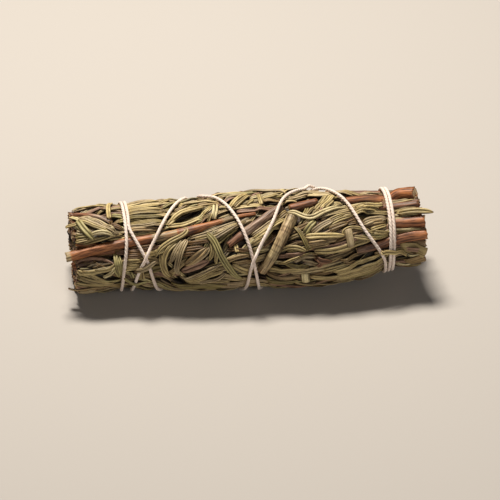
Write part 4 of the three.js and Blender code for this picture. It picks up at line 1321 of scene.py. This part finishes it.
def cut_leaf_ends(clumps):
    """Leaves inside the bundle that show only at the two cuts, side by side along it."""
    for end, cut_x, slant in CUTS:
        middle_z = float(np.interp(cut_x, GIRTH_X, MIDDLE_Z))
        for row, v in enumerate(END_ROWS):
            for u in END_COLUMNS + (0.8 if row % 2 else 0):
                y, z = u + rng.normal(0, 0.15), middle_z + v + rng.normal(0, 0.12)
                degrees = math.degrees(math.atan2(-y, z - middle_z))
                outside = math.hypot(y, v) - float(oval_radius(cut_x, degrees))
                if outside > -END_RIM or z < TABLE_GAP + 1.4:
                    continue
                face = cut_x + slant * y - end * rng.uniform(0, 1.3)
                x = np.linspace(face, face - end * END_LENGTH, END_STATIONS)
                tilt = rng.normal(0, 0.06, 2)
                centre = np.stack([x, y + tilt[0] * (x - face), z + tilt[1] * (x - face)], axis=1)
                roll = rng.uniform(-1.0, 1.0)
                side = np.array([0, math.cos(roll), math.sin(roll)])
                up = np.array([0, -math.sin(roll), math.cos(roll)])
                a, b, _ = PLAIN[::-1].T
                width, thick = rng.uniform(1.2, 1.8), rng.uniform(0.7, 0.95)
                section = side * (a * width / 2)[:, None] + up * (b * thick)[:, None]
                rings = centre[:, None] + section[None]
                if end > 0:
                    rings = rings[:, ::-1]
                tint, _ = random_colour()
                look = channels(END_STATIONS, len(a), tint, 0.7, rng.uniform(0, 0.7), 0)
                grain = channels(END_STATIONS, len(a), x[:, None], 0, rng.uniform(0, 300))
                clumps[nearest_sprig((cut_x, y, z), outer=False)].tube(rings, look, grain, 0, (1.0, 0.0))


def stem_ring(angle, radius, end):
    """A stem's outline across the stick, wound so that its faces look outward at either end."""
    around = angle if end < 0 else angle[::-1]
    return np.stack([0 * angle, np.cos(around) * radius, np.sin(around) * radius], axis=1)


RIM_SIDES = 14
RIM_STATIONS = 8
RIM_STEPS = 11  # degrees from one rim stub to the next


def rim_stubs(clumps):
    """Short cut stems in the rims, which stand out a little between the leaves. They are knobbly and a
    little flattened, with ragged ends."""
    for end, cut_x, slant in CUTS:
        for degrees in np.arange(0, 360, RIM_STEPS):
            if end > 0 and rng.random() < 0.45:
                continue
            at = degrees + rng.normal(0, 2.5)
            radius = rng.uniform(0.65, 1.15)
            face = cut_x + end * rng.uniform(-0.3, 0.5)
            x = np.linspace(face, face - end * rng.uniform(4, 8), RIM_STATIONS)
            turned = at + rng.normal(0, 0.8) * (x - face)
            centre = on_stick(x, turned, np.linspace(rng.uniform(-0.9, 0.1), -1.6, RIM_STATIONS) - radius)
            centre[:, 0] += slant * centre[:, 1]
            angle = np.linspace(0, 2 * math.pi, RIM_SIDES, endpoint=False)
            knobbly = 1 + 0.16 * np.sin(angle * 2 + degrees) + 0.08 * np.sin(angle * 5 + 2 * degrees)
            rings = centre[:, None] + stem_ring(angle, radius * knobbly, end)[None]
            rings[0, :, 0] += 0.3 * np.sin(angle * 3 + degrees) * end
            tint = rng.choice([0.1, 0.35, 0.6, 0.72, 0.88])
            clean = 0.8 + 0.2 * np.sin(angle * 5 + 2 * degrees)
            look = channels(RIM_STATIONS, RIM_SIDES, tint, clean, rng.uniform(0, 0.4), 0)
            grain = channels(RIM_STATIONS, RIM_SIDES, x[:, None], angle * radius, degrees)
            clumps[nearest_sprig(centre[0])].tube(rings, look, grain, 1, (1.0, 1.0))


STEM_LENGTH = 11
STEM_STATIONS = 14
STEM_SIDES = 20


def sprig_stem(clump, index):
    """The sprig's own woody stem, which shows at both cuts."""
    seed = index * 0.9
    for end, cut_x, slant in CUTS:
        face = cut_x + end * rng.uniform(-0.4, 0.5)
        x = np.linspace(face, face - end * STEM_LENGTH, STEM_STATIONS)
        middle = np.stack([sprig_middles(float(v))[index] for v in x])
        centre = np.stack([x, middle[:, 0], middle[:, 1]], axis=1)
        centre[:, 0] += slant * middle[:, 0]
        angle = np.linspace(0, 2 * math.pi, STEM_SIDES, endpoint=False)
        uneven = 1 + 0.07 * np.sin(angle * 3 + seed) + 0.05 * np.sin(angle * 7 + 2 * seed)
        rings = centre[:, None] + stem_ring(angle, rng.uniform(0.9, 1.4) * uneven, end)[None]
        rings[0, :, 0] += 0.12 * np.sin(angle * 2 + seed) * end
        look = channels(len(x), STEM_SIDES, rng.uniform(0.2, 0.65), 1, 0, 0)
        grain = channels(len(x), STEM_SIDES, x[:, None], angle, seed * 5)
        clump.tube(rings, look, grain, 1, (1.0, 1.0))


# --- Stage ----------------------------------------------------------------------------------------


def floor():
    """A pale matt board."""
    mesh = bpy.data.meshes.new("floor")
    size = 1.2
    corners = [(-size, -size, 0), (size, -size, 0), (size, size, 0), (-size, size, 0)]
    mesh.from_pydata(corners, [], [(0, 1, 2, 3)])
    material = bpy.data.materials.new("pale_matt_board")
    material.use_nodes = True
    tree = material.node_tree
    tree.nodes.clear()
    surface = node(tree, "ShaderNodeBsdfPrincipled", {"Base Color": linear("#b3afaa"), "Roughness": 0.9})
    node(tree, "ShaderNodeOutputMaterial", links={"Surface": surface.outputs["BSDF"]})
    mesh.materials.append(material)
    board = bpy.data.objects.new("floor", mesh)
    bpy.context.scene.collection.objects.link(board)


def soft_light(name, place_at, size, watts, colour):
    """A rectangular lamp that faces the stick."""
    light = bpy.data.lights.new(name, "AREA")
    light.shape = "RECTANGLE"
    light.size, light.size_y = size
    light.energy = watts
    light.color = linear(colour)[:3]
    lamp = bpy.data.objects.new(name, light)
    lamp.location = place_at
    lamp.rotation_euler = (Vector((0, 0, 0.01)) - Vector(place_at)).to_track_quat("-Z", "Y").to_euler()
    bpy.context.scene.collection.objects.link(lamp)


def lights():
    """A key light above and behind, a weaker fill in front, and a dim room."""
    soft_light("key_above", (-0.07, 0.22, 0.62), (0.18, 0.14), 7.4, "#fff6ea")
    soft_light("front_fill", (0.25, -0.75, 0.45), (0.4, 0.3), 1.5, "#fff8f2")
    world = bpy.data.worlds.new("studio")
    world.use_nodes = True
    background = world.node_tree.nodes["Background"]
    background.inputs["Color"].default_value = linear("#cfcbc8")
    background.inputs["Strength"].default_value = 0.08
    bpy.context.scene.world = world


def camera():
    """A long lens in front of the stick, which looks down on it."""
    azimuth, elevation, distance = math.radians(-4), math.radians(35), 0.967
    target = Vector((0.001, 0, 0.0132))
    level = math.cos(elevation)
    away = Vector((math.sin(azimuth) * level, -math.cos(azimuth) * level, math.sin(elevation)))
    lens = bpy.data.cameras.new("camera")
    lens.lens = 240
    lens.clip_end = 10
    eye = bpy.data.objects.new("camera", lens)
    turn = (-away).to_track_quat("-Z", "Y")
    eye.location = target + away * distance - turn @ Vector((0, 0.0029, 0))
    eye.rotation_euler = turn.to_euler()
    bpy.context.scene.collection.objects.link(eye)
    bpy.context.scene.camera = eye
    bpy.context.scene.view_settings.view_transform = "Standard"


# --- Making it ------------------------------------------------------------------------------------


def hand_laid(pile, laid, rows):
    """Lays the leaves of a list one on the other."""
    for row in rows:
        leaf = hand_leaf(*row)
        lay(pile, leaf, lie_of(pile, leaf, leaf.width, leaf.thickness)[0])
        half = len(leaf.x) // 2
        laid.append((nearest_sprig(on_stick(leaf.x[half], leaf.degrees[half], 0)), leaf, PLACED_STATIONS))


# Deep gaps between the leaves: the places each runs through, and how far down it goes.
HOLLOWS = [
    ([(-48, 69), (-44, 66), (-39, 67)], -1.9),
    ([(-19.5, 20), (-16.5, 15), (-14, 11)], -1.3),
    ([(-26, 108), (-23, 109), (-20, 108)], -1.3),
    ([(15.5, 82), (16.5, 82), (17.5, 83)], -1.2),
    ([(42.3, 97), (43.2, 100), (44, 103)], -1.5),
    ([(45, 82.5), (47.5, 83), (49.5, 83)], -1.3),
    ([(34.5, 29), (37, 29.5), (39.5, 33)], -0.9),
]


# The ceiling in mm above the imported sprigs, how far below it the two filled layers stay, how far above it the
# placed leaves may reach, and the ceiling of the leaves that lie over the string.
OPEN_CEILING = 1.15
BURIED_BELOW = 1.0
SHOWN_BELOW = 0.1
PLACED_ABOVE = 0.4
TOP_CEILING = 4.0
# Each layer's leaf lengths to try, the least gap that it fills, and its most leaves.
BURIED_LAYER = ((14, 10, 7), 0.5, 1400)
SHOWN_LAYER = ((20, 14, 8), 0.45, 1100)


def surface():
    """Everything on the stick, from the inside out."""
    pile = Pile()
    pile.allow(OPEN_CEILING)
    wound, string_x, string_height = string_places(PILE_PLACES)
    pile.lower_ceiling(string_x, wound, string_height - STRING_RADIUS - 0.1, 1.3, 3.0, 0.5)
    under_string = pile.ceiling.copy()
    cotton_string()
    twigs = [twig(pile, i * 1.37 + 0.5, *row) for i, row in enumerate(TWIGS)]
    for places, deep in HOLLOWS:
        pile.lower_ceiling(*smooth_line(places), deep, 1.6, 1.9, 0.7)
    laid = []
    open_ceiling = pile.ceiling.copy()
    pile.allow(open_ceiling - BURIED_BELOW)
    fill(pile, laid, *BURIED_LAYER, buried=True)
    pile.allow(open_ceiling - SHOWN_BELOW)
    for _, _, width, *places in FRONT_LEAVES:
        pile.lower_ceiling(*smooth_line(places), 0.5, 0.6, width * 0.6, width * 0.45)
    fill(pile, laid, *SHOWN_LAYER)
    pile.allow(open_ceiling + PLACED_ABOVE)
    hand_laid(pile, laid, FRONT_LEAVES)
    for x, degrees, height, radius in twigs:
        pile.bury(x, degrees, height, radius)
    pile.allow(under_string + PLACED_ABOVE)
    loose_leaves(pile, laid)
    level = levelled(pile.height)
    pile.allow(TOP_CEILING)
    pile.bury(string_x, wound, string_height, STRING_RADIUS)
    hand_laid(pile, laid, LEAVES_ON_TOP)
    clumps = {name: Clump() for name in (*SPRIG_NAMES, *(row[0] for row in LOOSE))}
    for owner, leaf, stations in laid:
        leaf_tube(clumps[owner], leaf, stations, pile, level)
    cut_leaf_ends(clumps)
    rim_stubs(clumps)
    for index, name in enumerate(SPRIG_NAMES):
        painted_dark_core(clumps[name], index)
        sprig_stem(clumps[name], index)
        place(clumps[name].build(name + "_leaves", [LEAF, BARK]), "leafy_sprig", name)
    for name, *_ in LOOSE:
        place(clumps[name].build(name + "_blade", [LEAF]), "dried_leaf", name)


camera()
lights()
floor()
surface()
